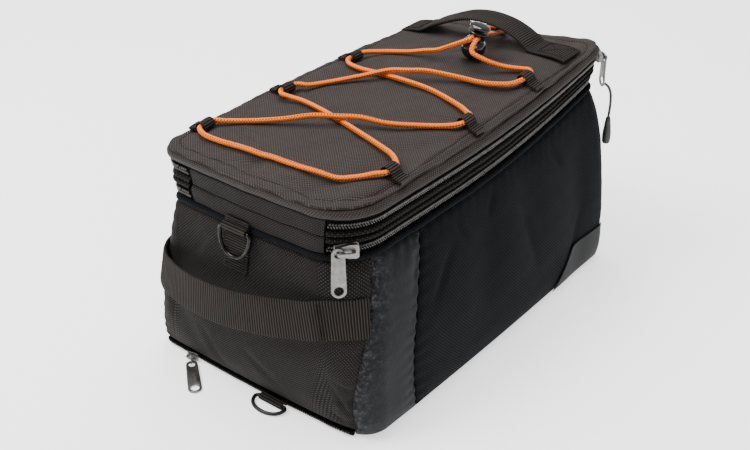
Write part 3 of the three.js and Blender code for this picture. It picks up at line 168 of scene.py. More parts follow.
# body, stack, flare, front, rear, round, left, lift
SECTIONS = np.array([
    (0.00, 0.00, 0.90, 0.985, 1.030, 0.62, 0.70, 0.00),
    (0.09, 0.00, 1.00, 1.015, 1.045, 0.66, 0.80, 0.01),
    (0.22, 0.00, 0.98, 1.040, 1.060, 0.74, 1.20, 0.05),
    (0.41, 0.00, 0.90, 1.045, 1.068, 0.82, 1.50, 0.18),
    (0.57, 0.00, 0.72, 1.025, 1.075, 0.88, 1.40, 0.36),
    (0.77, 0.00, 0.37, 0.995, 1.085, 0.95, 1.00, 0.68),
    (0.90, 0.00, 0.10, 0.975, 1.085, 1.00, 0.70, 0.88),
    (1.00, 0.00, -0.13, 0.960, 1.075, 1.00, 0.50, 0.96),
    (1.00, 0.14, -0.23, 0.958, 1.072, 1.00, 0.50, 0.96),
    (1.00, 0.38, -0.12, 0.968, 1.074, 1.00, 0.60, 0.90),
    (1.00, 0.60, -0.08, 0.972, 1.074, 1.00, 0.80, 0.80),
    (1.00, 0.82, 0.06, 0.985, 1.078, 1.00, 0.95, 0.70),
    (1.00, 1.00, 0.00, 1.000, 1.075, 1.00, 1.00, 0.66),
])
LEVELS = SECTIONS[:, 0] * BODY_HEIGHT + SECTIONS[:, 1] * STACK
FLARE, FRONT, REAR, ROUND, LEFT, LIFT = (SECTIONS[:, i] for i in range(2, 8))
print("bag", BASE_WIDTH, "x", BAG_LENGTH, "x", SEAM_HEIGHT, "mm to the lid's seam")

# %% [markdown]
# A point of the wall is asked for by two numbers: its walk round the outline, from 0 to 8, and its
# height. Corners are quarter circles, and a sine of the share along each straight leg bows it out.

# %% The outline at any height
TURN = 8


def smooth_table(rows, places, at):
    """Cubic steps through a table: the slope at a row is the slope between its two neighbours."""
    rows = np.asarray(rows, float)
    places = np.asarray(places, float)
    at = np.clip(np.asarray(at, float), places[0], places[-1])
    last = len(rows) - 1
    i = np.clip(np.searchsorted(places, at, side="right") - 1, 0, last - 1)
    before = np.maximum(np.arange(last + 1) - 1, 0)
    after = np.minimum(np.arange(last + 1) + 1, last)
    slope = (rows[after] - rows[before]) / (places[after] - places[before])
    step = places[i + 1] - places[i]
    s = (at - places[i]) / step
    return (rows[i] * (2 * s**3 - 3 * s**2 + 1) + rows[i + 1] * (3 * s**2 - 2 * s**3)
            + slope[i] * step * (s**3 - 2 * s**2 + s) + slope[i + 1] * step * (s**3 - s**2))


def at_height(column, height):
    """A column of the table of sections, read at a height."""
    return smooth_table(column, LEVELS, height)


def half_width(height):
    """Half the bag's width: the lid's, and a share of what the base has more."""
    return (LID_WIDTH + (BASE_WIDTH - LID_WIDTH) * at_height(FLARE, height)) / 2


def corner_radii(height):
    """Radius of both rear corners, of the front left one and of the front right one."""
    bend = at_height(ROUND, height)
    return REAR_RADIUS * bend, FRONT_LEFT_RADIUS * at_height(LEFT, height), FRONT_RIGHT_RADIUS * bend


def flat_outline(walk, height, inset=0.0):
    """Point of the rounded outline at a height. Walk 0-1 is the right side, 1-2 the rear right corner,
    2-3 the rear, 3-4 its left corner, 4-5 the left side, 5-6 the front left corner, 6-7 the front
    and 7-8 the front right corner."""
    walk, height = np.broadcast_arrays(np.asarray(walk, float), np.asarray(height, float))
    half = half_width(height) - inset
    front = at_height(FRONT, height) * BAG_LENGTH / 2 - inset
    rear = at_height(REAR, height) * BAG_LENGTH / 2 - inset
    at_rear, at_left, at_right = corner_radii(height)
    x = np.stack([half, REAR_TAPER - half, -half, half])
    y = np.stack([rear, rear, -front, -front])
    r = np.stack([at_rear, at_rear, at_left, at_right]) - inset
    turn = np.mod(walk, TURN)
    leg = np.floor(turn).astype(int)
    share = turn - leg

    def arc(corner, part):
        pick = lambda table: np.take_along_axis(table, corner[None], 0)[0]
        cx, cy, cr = pick(x), pick(y), pick(r)
        angle = (corner + part) * np.pi / 2
        return cx - np.sign(cx) * cr + cr * np.cos(angle), cy - np.sign(cy) * cr + cr * np.sin(angle)

    corner_x, corner_y = arc(np.clip((leg - 1) // 2, 0, 3), share)
    start = arc((leg // 2 + 3) % 4, np.ones_like(share))
    end = arc(np.clip(leg // 2, 0, 3), np.zeros_like(share))
    bow = WALL_BOW * np.sin(np.pi * share)
    normal = (leg // 2) * np.pi / 2
    line_x = start[0] + (end[0] - start[0]) * share + bow * np.cos(normal)
    line_y = start[1] + (end[1] - start[1]) * share + bow * np.sin(normal)
    odd = leg % 2 == 1
    return np.where(odd, corner_x, line_x), np.where(odd, corner_y, line_y)


def unit(v):
    """Vectors of length one."""
    return v / np.maximum(np.linalg.norm(v, axis=-1, keepdims=True), 1e-9)


def run_length(path):
    """Distance along a path to each of its points."""
    return np.concatenate([[0], np.cumsum(np.linalg.norm(np.diff(path, axis=0), axis=1))])


def read_path(at, run, path):
    """Points of a path at distances along it."""
    return np.stack([np.interp(at, run, column) for column in path.T], -1)


def outward(walk, height, step=0.01):
    """Level direction square to the outline, from two points a little before and after."""
    x0, y0 = flat_outline(np.asarray(walk) - step, height)
    x1, y1 = flat_outline(np.asarray(walk) + step, height)
    return unit(np.stack([y1 - y0, x0 - x1, np.zeros_like(x0)], -1))


def rise(x, y, height):
    """How much higher the stuffed bag stands: it grows with the square of the way to the rear."""
    back = np.clip((y / BAG_LENGTH - RISE_START) / RISE_RUN, 0, 1)
    across = np.clip(x / (LID_WIDTH / 2), -1, 1)
    side = np.where(across > 0, (across + across**2) / 2, LEFT_SAG * across)
    return REAR_RISE * at_height(LIFT, height) * back**2 * side


# %% [markdown]
# Cloth is never quite flat. Long creases are pressed in one by one where the photo shows them: each is
# a soft groove, deep in the middle and fading at its ends. Smaller unevenness is a sum of a few waves
# that run in different directions, which is smooth, quick and the same on every run.

# %% Folds of the walls and ripples of cloth
# walk, up, length, lean in degrees, width, depth
FOLDS = [
    (7.10, 0.12, 0.20, -38, 0.8, 0.7),
    (7.20, 0.30, 0.16, -60, 0.7, 0.5),
    (6.05, 0.72, 0.26, 24, 1.0, 0.9),
    (6.10, 0.30, 0.22, -35, 0.9, 0.6),
    (0.42, 0.70, 0.40, 12, 1.6, 0.6),
    (0.64, 0.72, 0.42, -8, 1.6, 0.6),
    (0.90, 0.45, 0.50, 4, 1.4, 0.6),
    (4.30, 0.70, 0.45, 10, 1.7, 0.6),
    (4.66, 0.66, 0.40, -9, 1.6, 0.6),
    (2.50, 0.66, 0.45, 0, 2.0, 0.6),
]
# Finer creases that only show in the cloth itself
CREASES = [
    (7.24, 0.20, 0.10, -48, 0.24, 0.60),
    (7.30, 0.34, 0.09, -66, 0.20, 0.50),
    (7.16, 0.24, 0.12, -30, 0.22, 0.55),
    (7.06, 0.10, 0.10, -52, 0.22, 0.50),
    (7.34, 0.12, 0.08, -24, 0.18, 0.45),
    (6.22, 0.86, 0.12, 36, 0.26, 0.45),
    (6.02, 0.52, 0.20, 14, 0.30, 0.40),
    (6.30, 0.20, 0.16, -28, 0.34, 0.40),
    (6.60, 0.24, 0.14, -58, 0.30, 0.35),
    (0.12, 0.84, 0.16, 30, 0.30, 0.42),
    (0.22, 0.70, 0.22, 44, 0.36, 0.36),
    (0.30, 0.88, 0.12, -24, 0.30, 0.40),
    (0.46, 0.90, 0.10, 28, 0.28, 0.36),
    (0.62, 0.60, 0.30, -16, 0.44, 0.36),
    (0.78, 0.86, 0.14, -30, 0.30, 0.44),
    (0.88, 0.30, 0.20, 24, 0.40, 0.36),
    (2.30, 0.80, 0.16, 20, 0.40, 0.26),
    (2.72, 0.78, 0.18, -18, 0.40, 0.26),
    (4.20, 0.84, 0.14, -26, 0.34, 0.24),
    (4.80, 0.82, 0.15, 24, 0.34, 0.24),
]


def groove(points, centre, along, length, width):
    """One crease: the square of the distance from its line fades the depth, its fourth power the ends."""
    off = points - centre
    run = off @ along
    across = np.linalg.norm(off - run[..., None] * along, axis=-1)
    return np.exp(-((across / width) ** 2) - (run / length) ** 4)


def pressed_in(x, y, height, rows):
    """Depth of all the creases in a table at points of the wall."""
    points = np.stack([x, y, height], -1)
    depth = np.zeros_like(x)
    for walk, up, length, lean, width, deep in rows:
        level = up * BODY_HEIGHT
        cx, cy = flat_outline(walk, level)
        side = np.cross([0, 0, 1], outward(walk, level))
        angle = math.radians(lean)
        along = np.array([0, 0, math.cos(angle)]) + side * math.sin(angle)
        centre = np.array([float(cx), float(cy), level])
        depth += deep * FOLD_DEPTH * groove(points, centre, along, length * BODY_HEIGHT, width * FOLD_WIDTH)
    ends = np.sin(np.pi * np.clip(height / BODY_HEIGHT, 0, 1))
    return depth * np.sqrt(np.maximum(ends, 0))


def ripple(points, size, seed, waves=7):
    """Sum of sine waves with seeded directions, about from -1 to 1, with features of the given size."""
    rng = np.random.default_rng(seed)
    total = np.zeros(points.shape[:-1])
    for _ in range(waves):
        direction = unit(rng.normal(size=3))
        length = size * rng.uniform(0.7, 1.6)
        total += np.sin(points @ direction * 2 * np.pi / length + rng.uniform(0, 2 * np.pi))
    return total / waves**0.5


def wall_point(walk, height, out=0.0):
    """Point of the bag's wall, standing out from it by some millimetres, folds and rise included."""
    x, y = flat_outline(walk, height, -np.asarray(out, float))
    push = np.where(np.asarray(height) < BODY_HEIGHT, pressed_in(x, y, height + 0 * x, FOLDS), 0)
    side = outward(walk, height) * -push[..., None]
    return np.stack([x + side[..., 0], y + side[..., 1], height + rise(x, y, height)], -1)


def front_walk(x, height):
    """Walk number on the front for a distance from the middle line."""
    half = half_width(height)
    _, left, right = corner_radii(height)
    radius = right if x > 0 else left
    past = abs(x) - (half - radius)
    if past > 0:
        angle = math.asin(min(past / radius, 1)) / (math.pi / 2)
        return 7 + angle if x > 0 else 6 - angle
    return 6 + (x + half - left) / (2 * half - left - right)


WALK_TABLE = np.linspace(-3, 17, 4001)


def walk_lengths(height):
    """Distance along the outline to each walk number of the table, at one height."""
    return run_length(np.stack(flat_outline(WALK_TABLE, height), -1))


def even_walks(start, end, height, pitch):
    """Walk numbers between two, a pitch apart along the outline, and their distances."""
    lengths = walk_lengths(height)
    first, last = np.interp([start, end], WALK_TABLE, lengths)
    count = max(int(round((last - first) / pitch)), 2)
    distance = np.linspace(first, last, count + 1)
    return np.interp(distance, lengths, WALK_TABLE), distance - first


# %% [markdown]
# The lid is a low dome: a quick shoulder at the seam, a slow crown, one puff over the stuffed rear
# and the creases of the photo. It is a height over the plan, so it can be asked for at any point.

# %% The lid's height
# ends as shares of half the width and length, then width and depth
LID_FOLDS = [
    (-0.14, -0.86, 0.02, -1.00, 0.8, 1.0),
    (-0.72, -0.92, -0.46, -0.93, 0.7, 0.7),
    (0.48, -0.96, 0.76, -0.58, 1.0, 1.0),
    (0.68, -0.42, 0.92, -0.20, 0.9, 0.8),
    (0.40, 0.18, 0.92, 0.34, 0.9, 0.8),
    (-0.14, 0.26, -0.06, 0.42, 1.0, 0.8),
]
LID_CREASES = [
    (0.30, -0.46, 0.74, -0.40, 0.35, 0.60),
    (0.56, -0.10, 0.90, -0.04, 0.35, 0.50),
    (-0.60, -0.70, -0.30, -0.76, 0.35, 0.50),
    (-0.70, -0.20, -0.42, -0.30, 0.35, 0.50),
    (0.10, 0.50, 0.60, 0.58, 0.40, 0.60),
    (-0.50, 0.40, -0.30, 0.62, 0.40, 0.60),
    (-0.10, 0.44, 0.06, 0.60, 0.36, 0.60),
    (0.20, -0.92, 0.50, -0.88, 0.30, 0.60),
    (-0.30, -0.94, -0.06, -0.84, 0.28, 0.60),
    (0.52, -0.90, 0.80, -0.80, 0.26, 0.50),
]
PUFF_X, PUFF_Y, PUFF_WIDE, PUFF_LONG = 0.25, 0.45, 0.6, 0.42


def lid_grooves(x, y, rows):
    """Depth of the lid's creases, each a groove between two points of the plan."""
    depth = np.zeros_like(x)
    for x0, y0, x1, y1, width, deep in rows:
        start = np.array([x0 * LID_WIDTH / 2, y0 * BAG_LENGTH / 2])
        end = np.array([x1 * LID_WIDTH / 2, y1 * BAG_LENGTH / 2])
        length = np.linalg.norm(end - start)
        along = (end - start) / length
        run = ((x - start[0]) * along[0] + (y - start[1]) * along[1] - length / 2) / (length / 2)
        across = np.abs((x - start[0]) * along[1] - (y - start[1]) * along[0]) / (width * LID_FOLD_WIDTH)
        depth += deep * LID_FOLD_DEPTH * np.exp(-(across**2) - run**4)
    return depth


def lid_shoulder(x, y):
    """From 0 at the lid's seam to 1 past its shoulder."""
    a, b = LID_WIDTH / 2, BAG_LENGTH / 2
    squared = (np.abs(x) / a) ** LID_SQUARENESS + (np.abs(y) / b) ** LID_SQUARENESS
    reach = np.minimum(squared ** (1 / LID_SQUARENESS), 1)
    return 1 - np.maximum(1 - (1 - reach) * a / LID_SHOULDER, 0) ** 2


def lid_top(x, y):
    """Height of the lid over a point of the plan."""
    x, y = np.asarray(x, float), np.asarray(y, float)
    a, b = LID_WIDTH / 2, BAG_LENGTH / 2
    shoulder = lid_shoulder(x, y)
    crown = np.maximum((1 - (x / a) ** 2) * (1 - (y / b) ** 4), 0)
    puff = np.exp(-(((x / a - PUFF_X) / PUFF_WIDE) ** 2) - ((y / b - PUFF_Y) / PUFF_LONG) ** 2)
    dome = LID_CROWN * (SHOULDER_SHARE * shoulder + (1 - SHOULDER_SHARE) * crown) + LID_PUFF * puff
    level = SEAM_HEIGHT + GAP / 2 + WALL + rise(x, y, SEAM_HEIGHT)
    return level + dome - lid_grooves(x, y, LID_FOLDS) * shoulder


# %% [markdown]
# Meshes are built as whole arrays. A surface is a grid of points with a grid of cloth coordinates in
# millimetres beside it, so a weave follows the cloth round every corner.

# %% Mesh helpers
BAG_CENTRE = np.array([0, 0, 100.0])


def new_piece(name, vertices, faces, uv=None, seam=None):
    """An object from arrays in millimetres, with cloth coordinates and a seam mask where given."""
    mesh = bpy.data.meshes.new(name)
    mesh.from_pydata((np.asarray(vertices) * MM).tolist(), [], [list(f) for f in faces])
    if uv is not None:
        layer = mesh.uv_layers.new(name="cloth")
        layer.data.foreach_set("uv", np.asarray(uv, np.float32).ravel())
    if seam is not None:
        mask = mesh.attributes.new("seam", "FLOAT", "POINT")
        mask.data.foreach_set("value", np.asarray(seam, np.float32).ravel())
    mesh.validate()
    mesh.shade_smooth()
    mesh.set_sharp_from_angle(angle=math.radians(50))
    piece = bpy.data.objects.new(name, mesh)
    bpy.context.scene.collection.objects.link(piece)
    return piece


def grid_faces(rows, columns, wrap_rows=False, wrap_columns=False):
    """Quads of a grid, and the grid places of their corners."""
    r, c = np.indices((rows - (not wrap_rows), columns - (not wrap_columns)))
    corners = [(r, c), (r, c + 1), (r + 1, c + 1), (r + 1, c)]
    index = np.stack([(i % rows) * columns + j % columns for i, j in corners], -1).reshape(-1, 4)
    return index, corners


def turned_in(vertices, faces, closed):
    """True where faces point inwards: a closed body by its signed volume, a sheet by the bag's centre."""
    a, b, c = (vertices[faces[:, k]] for k in (0, 1, 2))
    d = vertices[faces[:, 3]]
    normal = np.cross(c - a, d - b)
    centre = (a + b + c + d) / 4
    origin = vertices.mean(0) if closed else BAG_CENTRE
    return float((normal * (centre - origin)).sum()) < 0


def surface(name, points, uv, wrap_rows=False, wrap_columns=False, caps=False, seam=None):
    """A grid of points as a mesh. Caps close the two ends of a tube whose columns wrap."""
    rows, columns = points.shape[:2]
    faces, corners = grid_faces(rows, columns, wrap_rows, wrap_columns)
    corner_uv = np.stack([uv[i, j] for i, j in corners], -2).reshape(-1, 4, 2)
    vertices = points.reshape(-1, 3)
    flip = turned_in(vertices, faces, wrap_columns)
    if flip:
        faces = faces[:, ::-1]
        corner_uv = corner_uv[:, ::-1]
    faces = faces.tolist()
    corner_uv = corner_uv.reshape(-1, 2)
    if caps:
        first = list(range(columns))
        last = list(range((rows - 1) * columns, rows * columns))
        forward = [first[::-1], last]
        faces += [face[::-1] for face in forward] if flip else forward
        corner_uv = np.vstack([corner_uv, np.zeros((2 * columns, 2))])
    return new_piece(name, vertices, faces, corner_uv, seam)


def cloth_uv(rows, columns):
    """Cloth coordinates from a value for each row and one for each column."""
    return np.stack(np.meshgrid(rows, columns, indexing="ij"), -1)


def thicken(piece, thickness):
    """Solidify gives a sheet its thickness towards the inside of the bag."""
    modifier = piece.modifiers.new("thickness", "SOLIDIFY")
    modifier.thickness = thickness * MM
    modifier.offset = -1
    return piece


def dress(piece, material, nodes, body="bag"):
    """Gives a piece its material and its body, and hides the CAD nodes that it stands for."""
    piece.data.materials.append(material)
    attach(piece, body)
    if nodes:
        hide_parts(*nodes)
    return piece


def tube(name, path, radius, closed=False, reference=(0, 0, 1), sides=14):
    """A round section carried along a path. Its first axis is the reference made square to the path."""
    path = np.asarray(path, float)
    radius = np.broadcast_to(radius, len(path))
    if closed:
        tangent = unit(np.roll(path, -1, 0) - np.roll(path, 1, 0))
    else:
        tangent = unit(np.gradient(path, axis=0))
    reference = np.broadcast_to(np.asarray(reference, float), path.shape)
    first = unit(reference - (reference * tangent).sum(-1, keepdims=True) * tangent)
    second = np.cross(tangent, first)
    angle = np.arange(sides) / sides * 2 * np.pi
    points = path[:, None] + radius[:, None, None] * (
        np.cos(angle)[None, :, None] * first[:, None] + np.sin(angle)[None, :, None] * second[:, None])
    length = run_length(path)
    rows = np.append(length, length[-1] + 1) if closed else length
    uv = cloth_uv(rows, np.arange(sides + 1) / sides)
    return surface(name, points, uv, wrap_rows=closed, wrap_columns=True, caps=not closed)


def centripetal(points, spacing):
    """A Catmull-Rom curve through points, cut into even steps. Its knots lie apart by the square root
    of the distance between the points, and each part is a cubic in the share t along it."""
    points = np.asarray(points, float)
    padded = np.vstack([2 * points[0] - points[1], points, 2 * points[-1] - points[-2]])
    p0, p1, p2, p3 = padded[:-3], padded[1:-2], padded[2:-1], padded[3:]
    knot = lambda a, b: np.maximum(np.linalg.norm(b - a, axis=1, keepdims=True) ** 0.5, 1e-2)
    d0, d1, d2 = knot(p0, p1), knot(p1, p2), knot(p2, p3)
    m1 = ((p1 - p0) / d0 - (p2 - p0) / (d0 + d1) + (p2 - p1) / d1) * d1
    m2 = ((p2 - p1) / d1 - (p3 - p1) / (d1 + d2) + (p3 - p2) / d2) * d1
    t = np.linspace(0, 1, 24, endpoint=False)[None, :, None]
    factors = [p1, m1, -3 * p1 + 3 * p2 - 2 * m1 - m2, 2 * p1 - 2 * p2 + m1 + m2]
    curve = sum(factor[:, None] * t**power for power, factor in enumerate(factors))
    curve = np.vstack([curve.reshape(-1, points.shape[1]), points[-1]])
    length = run_length(curve)
    at = np.linspace(0, length[-1], max(int(round(length[-1] / spacing)), 2) + 1)
    return read_path(at, length, curve)


RIB_PITCH = 2.1
RIB_HEIGHT = 0.16


def strap(name, centre, across, width, thickness, square=7.0, ribs=True, sides=30):
    """Webbing: a flat rounded section carried along a centre line. Its outline is a superellipse, and its
    thickness swells and sinks along the way by a cosine, which makes the ribs that cross it."""
    centre, across = np.asarray(centre, float), unit(np.asarray(across, float))
    tangent = unit(np.gradient(centre, axis=0))
    normal = unit(np.cross(tangent, across))
    length = run_length(centre)
    angle = np.arange(sides) / sides * 2 * np.pi
    power = 2 / np.broadcast_to(square, len(centre))[:, None]
    wide = np.sign(np.cos(angle)) * np.abs(np.cos(angle)) ** power
    high = np.sign(np.sin(angle)) * np.abs(np.sin(angle)) ** power
    rib = RIB_HEIGHT * np.cos(length / RIB_PITCH * 2 * np.pi) if ribs else 0 * length
    half_width = np.broadcast_to(width, len(centre))[:, None] / 2 + 0.4 * rib[:, None]
    half_high = np.broadcast_to(thickness, len(centre))[:, None] / 2 + rib[:, None]
    points = (centre[:, None] + (wide * half_width)[..., None] * across[:, None]
              + (high * half_high)[..., None] * normal[:, None])
    uv = cloth_uv(length, np.append(wide[0], wide[0][0]) * np.max(width) / 2)
    return surface(name, points, uv, wrap_columns=True, caps=True)


def scatter(name, template, template_faces, origins, axes):
    """Copies of a small shape: each template point is its three measures along the copy's three axes."""
    points = origins[:, None] + np.einsum("tk,nkj->ntj", template, axes)
    count = len(template)
    shift = (np.arange(len(origins)) * count)[:, None, None]
    faces = (np.asarray(template_faces)[None] + shift).reshape(-1, 4)
    vertices = points.reshape(-1, 3)
    return new_piece(name, vertices, faces.tolist())


def bar_template(length, width, height, stations=(0.0, 0.18, 0.82, 1.0), shares=(0.45, 1.0, 1.0, 0.45)):
    """A short rounded bar: hexagon sections that shrink at its two ends, each end closed by two quads."""
    angle = (np.arange(6) + 0.5) / 6 * 2 * np.pi
    section = np.stack([np.zeros(6), np.cos(angle) * width / 2, np.sin(angle) * height / 2], -1)
    rings = [section * share + [(at - 0.5) * length, 0, 0] for at, share in zip(stations, shares)]
    faces, _ = grid_faces(len(stations), 6, wrap_columns=True)
    last = np.array([(0, 1, 2, 3), (0, 3, 4, 5)]) + (len(stations) - 1) * 6
    return np.vstack(rings), np.vstack([faces[:, ::-1], [(3, 2, 1, 0), (5, 4, 3, 0)], last])


def stitches(name, paths, normals, pitch=3.0, length=2.1, width=0.75):
    """Sewing thread along lines: one short bar for each stitch, laid on the cloth."""
    origins, axes = [], []
    for path, normal in zip(paths, normals):
        path = np.asarray(path, float)
        run = run_length(path)
        at = np.arange(pitch / 2, run[-1], pitch)
        tangent = unit(read_path(at + 0.4, run, path) - read_path(at - 0.4, run, path))
        up = read_path(at, run, np.broadcast_to(normal, path.shape))
        up = unit(up - (up * tangent).sum(-1, keepdims=True) * tangent)
        origins.append(read_path(at, run, path))
        axes.append(np.stack([tangent, np.cross(up, tangent), up], 1))
    bar, faces = bar_template(length, width, width * 0.8)
    return scatter(name, bar, faces, np.vstack(origins), np.vstack(axes))


def lathe(name, profile, matrix, sides=48):
    """A profile of radius and height turned about the third axis of a placing matrix."""
    profile = np.asarray(profile, float)
    angle = np.arange(sides) / sides * 2 * np.pi
    circle = np.stack([np.cos(angle), np.sin(angle), np.ones(sides)], -1)
    points = (profile[:, None, [0, 0, 1]] * circle) @ matrix[:3, :3].T + matrix[:3, 3]
    uv = cloth_uv(profile[:, 1], np.arange(sides + 1) / sides)
    return surface(name, points, uv, wrap_columns=True, caps=True)


# %% [markdown]
# The weave is used by every cloth, so it is a node group. Threads cross over and under: where the
# column and row numbers of a thread crossing add up to an even number the warp is on top, and else
# the weft. The group puts out the thread height and a mask of the small light dots of a dobby cloth.

# %% Weave node group
def group_socket(group, name, kind, default=None, output=False):
    """A socket on the outside of a node group."""
    socket = group.interface.new_socket(name=name, in_out="OUTPUT" if output else "INPUT", socket_type=kind)
    if default is not None:
        socket.default_value = default
    return socket


class Maths:
    """Small helper that adds math nodes to a node tree and links them."""

    def __init__(self, tree):
        self.tree = tree

    def __call__(self, operation, *values):
        node = self.tree.nodes.new("ShaderNodeMath")
        node.operation = operation
        for i, value in enumerate(values):
            if isinstance(value, (int, float)):
                node.inputs[i].default_value = value
            else:
                self.tree.links.new(value, node.inputs[i])
        return node.outputs[0]


def make_weave_group():
    """Height of the threads and a mask of dots, from cloth coordinates and the pitch of the threads."""
    group = bpy.data.node_groups.new("weave", "ShaderNodeTree")
    group_socket(group, "Vector", "NodeSocketVector")
    group_socket(group, "Pitch", "NodeSocketFloat", 1.4)
    group_socket(group, "Twill", "NodeSocketFloat", 1.0)
    group_socket(group, "Height", "NodeSocketFloat", output=True)
    group_socket(group, "Dots", "NodeSocketFloat", output=True)
    entry = group.nodes.new("NodeGroupInput")
    leave = group.nodes.new("NodeGroupOutput")
    split = group.nodes.new("ShaderNodeSeparateXYZ")
    group.links.new(entry.outputs["Vector"], split.inputs[0])
    math_node = Maths(group)
    u = math_node("DIVIDE", split.outputs["X"], entry.outputs["Pitch"])
    v = math_node("DIVIDE", split.outputs["Y"], entry.outputs["Pitch"])
    column = math_node("FLOOR", u)
    row = math_node("FLOOR", v)
    crossing = math_node("ADD", column, math_node("MULTIPLY", row, entry.outputs["Twill"]))
    parity = math_node("FLOORED_MODULO", crossing, 2)
    on_top = math_node("GREATER_THAN", parity, 0.5)
    warp = math_node("ABSOLUTE", math_node("SINE", math_node("MULTIPLY", u, math.pi)))
    weft = math_node("ABSOLUTE", math_node("SINE", math_node("MULTIPLY", v, math.pi)))
    high = math_node("MULTIPLY", warp, on_top)
    low = math_node("MULTIPLY", weft, math_node("SUBTRACT", 1.0, on_top))
    group.links.new(math_node("ADD", high, low), leave.inputs["Height"])
    dot = math_node("MULTIPLY", math_node("MULTIPLY", warp, weft), on_top)
    group.links.new(math_node("POWER", dot, 2.0), leave.inputs["Dots"])
    return group


weave_group = make_weave_group()


# %% [markdown]
# Cloth also has larger patches that are a little lighter or darker. A second group
# makes that slow variation from the object's own coordinates, in metres, and every finish uses it.

# %% Patches group
def make_patches_group():
    """Noise about a half, spread out or pressed together by the contrast."""
    group = bpy.data.node_groups.new("patches", "ShaderNodeTree")
    group_socket(group, "Scale", "NodeSocketFloat", 30.0)
    group_socket(group, "Contrast", "NodeSocketFloat", 0.3)
    group_socket(group, "Value", "NodeSocketFloat", output=True)
    entry = group.nodes.new("NodeGroupInput")
    leave = group.nodes.new("NodeGroupOutput")
    place = group.nodes.new("ShaderNodeTexCoord")
    noise = group.nodes.new("ShaderNodeTexNoise")
    noise.inputs["Detail"].default_value = 4
    group.links.new(place.outputs["Object"], noise.inputs["Vector"])
    group.links.new(entry.outputs["Scale"], noise.inputs["Scale"])
    math_node = Maths(group)
    centred = math_node("SUBTRACT", noise.outputs["Fac"], 0.5)
    spread = math_node("MULTIPLY", centred, entry.outputs["Contrast"])
    group.links.new(math_node("ADD", spread, 0.5), leave.inputs["Value"])
    return group


patches_group = make_patches_group()
print("node groups", weave_group.name, patches_group.name)

# %% [markdown]
# Every material is put together from the same few steps: a group is placed, its value runs through a
# ramp of two colours, a second colour is mixed in where a mask says so, and a height becomes a bump.


# %% Building blocks of the materials
def plug(tree, value, socket):
    """Gives a socket its value: a number or a colour is typed in, the output of a node is linked."""
    if isinstance(value, tuple):
        socket.default_value = (*value, 1)
    elif isinstance(value, (int, float)):
        socket.default_value = value
    else:
        tree.links.new(value, socket)


def material_tree(name):
    """A new material, its node tree and its shader."""
    material = bpy.data.materials.new(name)
    material.use_nodes = True
    tree = material.node_tree
    return material, tree, tree.nodes["Principled BSDF"]


def place_group(tree, group, **values):
    """A node that runs a group, with its values."""
    node = tree.nodes.new("ShaderNodeGroup")
    node.node_tree = group
    for key, value in values.items():
        plug(tree, value, node.inputs[key])
    return node


def cloth_vector(tree):
    """The cloth coordinates of a mesh, in millimetres."""
    node = tree.nodes.new("ShaderNodeUVMap")
    node.uv_map = "cloth"
    return node.outputs[0]


def cloth_axes(tree):
    """The two cloth coordinates, each on its own."""
    split = tree.nodes.new("ShaderNodeSeparateXYZ")
    tree.links.new(cloth_vector(tree), split.inputs[0])
    return split.outputs["X"], split.outputs["Y"]


def colour_ramp(tree, value, low, high, start=0.0, end=1.0):
    """One colour up to the start, another from the end on, and an even change between them."""
    ramp = tree.nodes.new("ShaderNodeValToRGB")
    for element, colour, position in zip(ramp.color_ramp.elements, (low, high), (start, end)):
        element.color = (*colour, 1)
        element.position = position
    tree.links.new(value, ramp.inputs[0])
    return ramp.outputs[0]


def mix_colour(tree, share, first, second):
    """The first colour where the share is 0 and the second where it is 1."""
    node = tree.nodes.new("ShaderNodeMix")
    node.data_type = "RGBA"
    for name, kind, value in (("Factor", "VALUE", share), ("A", "RGBA", first), ("B", "RGBA", second)):
        plug(tree, value, [s for s in node.inputs if s.name == name and s.type == kind][0])
    return [s for s in node.outputs if s.type == "RGBA"][0]


def bump(tree, shader, height, distance):
    """Tilts the shader's normal by a height, whose full step is a distance in metres."""
    node = tree.nodes.new("ShaderNodeBump")
    node.inputs["Distance"].default_value = distance
    node.inputs["Strength"].default_value = 1.0
    tree.links.new(height, node.inputs["Height"])
    tree.links.new(node.outputs[0], shader.inputs["Normal"])


def finish(shader, roughness, shine):
    """Roughness, and the strength of the highlight."""
    shader.inputs["Roughness"].default_value = roughness
    shader.inputs["Specular IOR Level"].default_value = shine


# %% [markdown]
# The bag has two woven cloths: a warm dark grey one on the lid, front and bands, and a nearly black one
# with small dots on the sides. The front and the bands get darker copies of the grey one, as painted shade.
# Both read their own cloth coordinates, so the threads run level.

# %% Woven cloths
DOT_LIGHT = 6.0


def woven_cloth(name, dark, light, pitch, dots, roughness, sheen=0.0, shine=0.08, thread=0.00022):
    """Two colours, dark between threads as painted shade, light dots where fine noise lets them show, weave
    as bump.
    """
    material, tree, shader = material_tree(name)
    weave = place_group(tree, weave_group, Vector=cloth_vector(tree), Pitch=pitch)
    patches = place_group(tree, patches_group, Scale=26.0, Contrast=0.9)
    fine = place_group(tree, patches_group, Scale=900.0, Contrast=0.8)
    math_node = Maths(tree)
    # painted shade: the thread height lifts the colour on the threads and darkens it between them
    threads = math_node("MULTIPLY", weave.outputs["Height"], 0.55)
    shade_and_tone = math_node("ADD", threads, math_node("MULTIPLY", patches.outputs[0], 0.5))
    base = colour_ramp(tree, shade_and_tone, dark, light)
    speck = math_node("MULTIPLY", math_node("MULTIPLY", weave.outputs["Dots"], fine.outputs[0]), dots)
    lit = mix_colour(tree, speck, base, tuple(min(c * DOT_LIGHT, 1) for c in light))
    tree.links.new(lit, shader.inputs["Base Color"])
    finish(shader, roughness, shine)
    shader.inputs["Sheen Weight"].default_value = sheen
    bump(tree, shader, weave.outputs["Height"], thread)
    return material


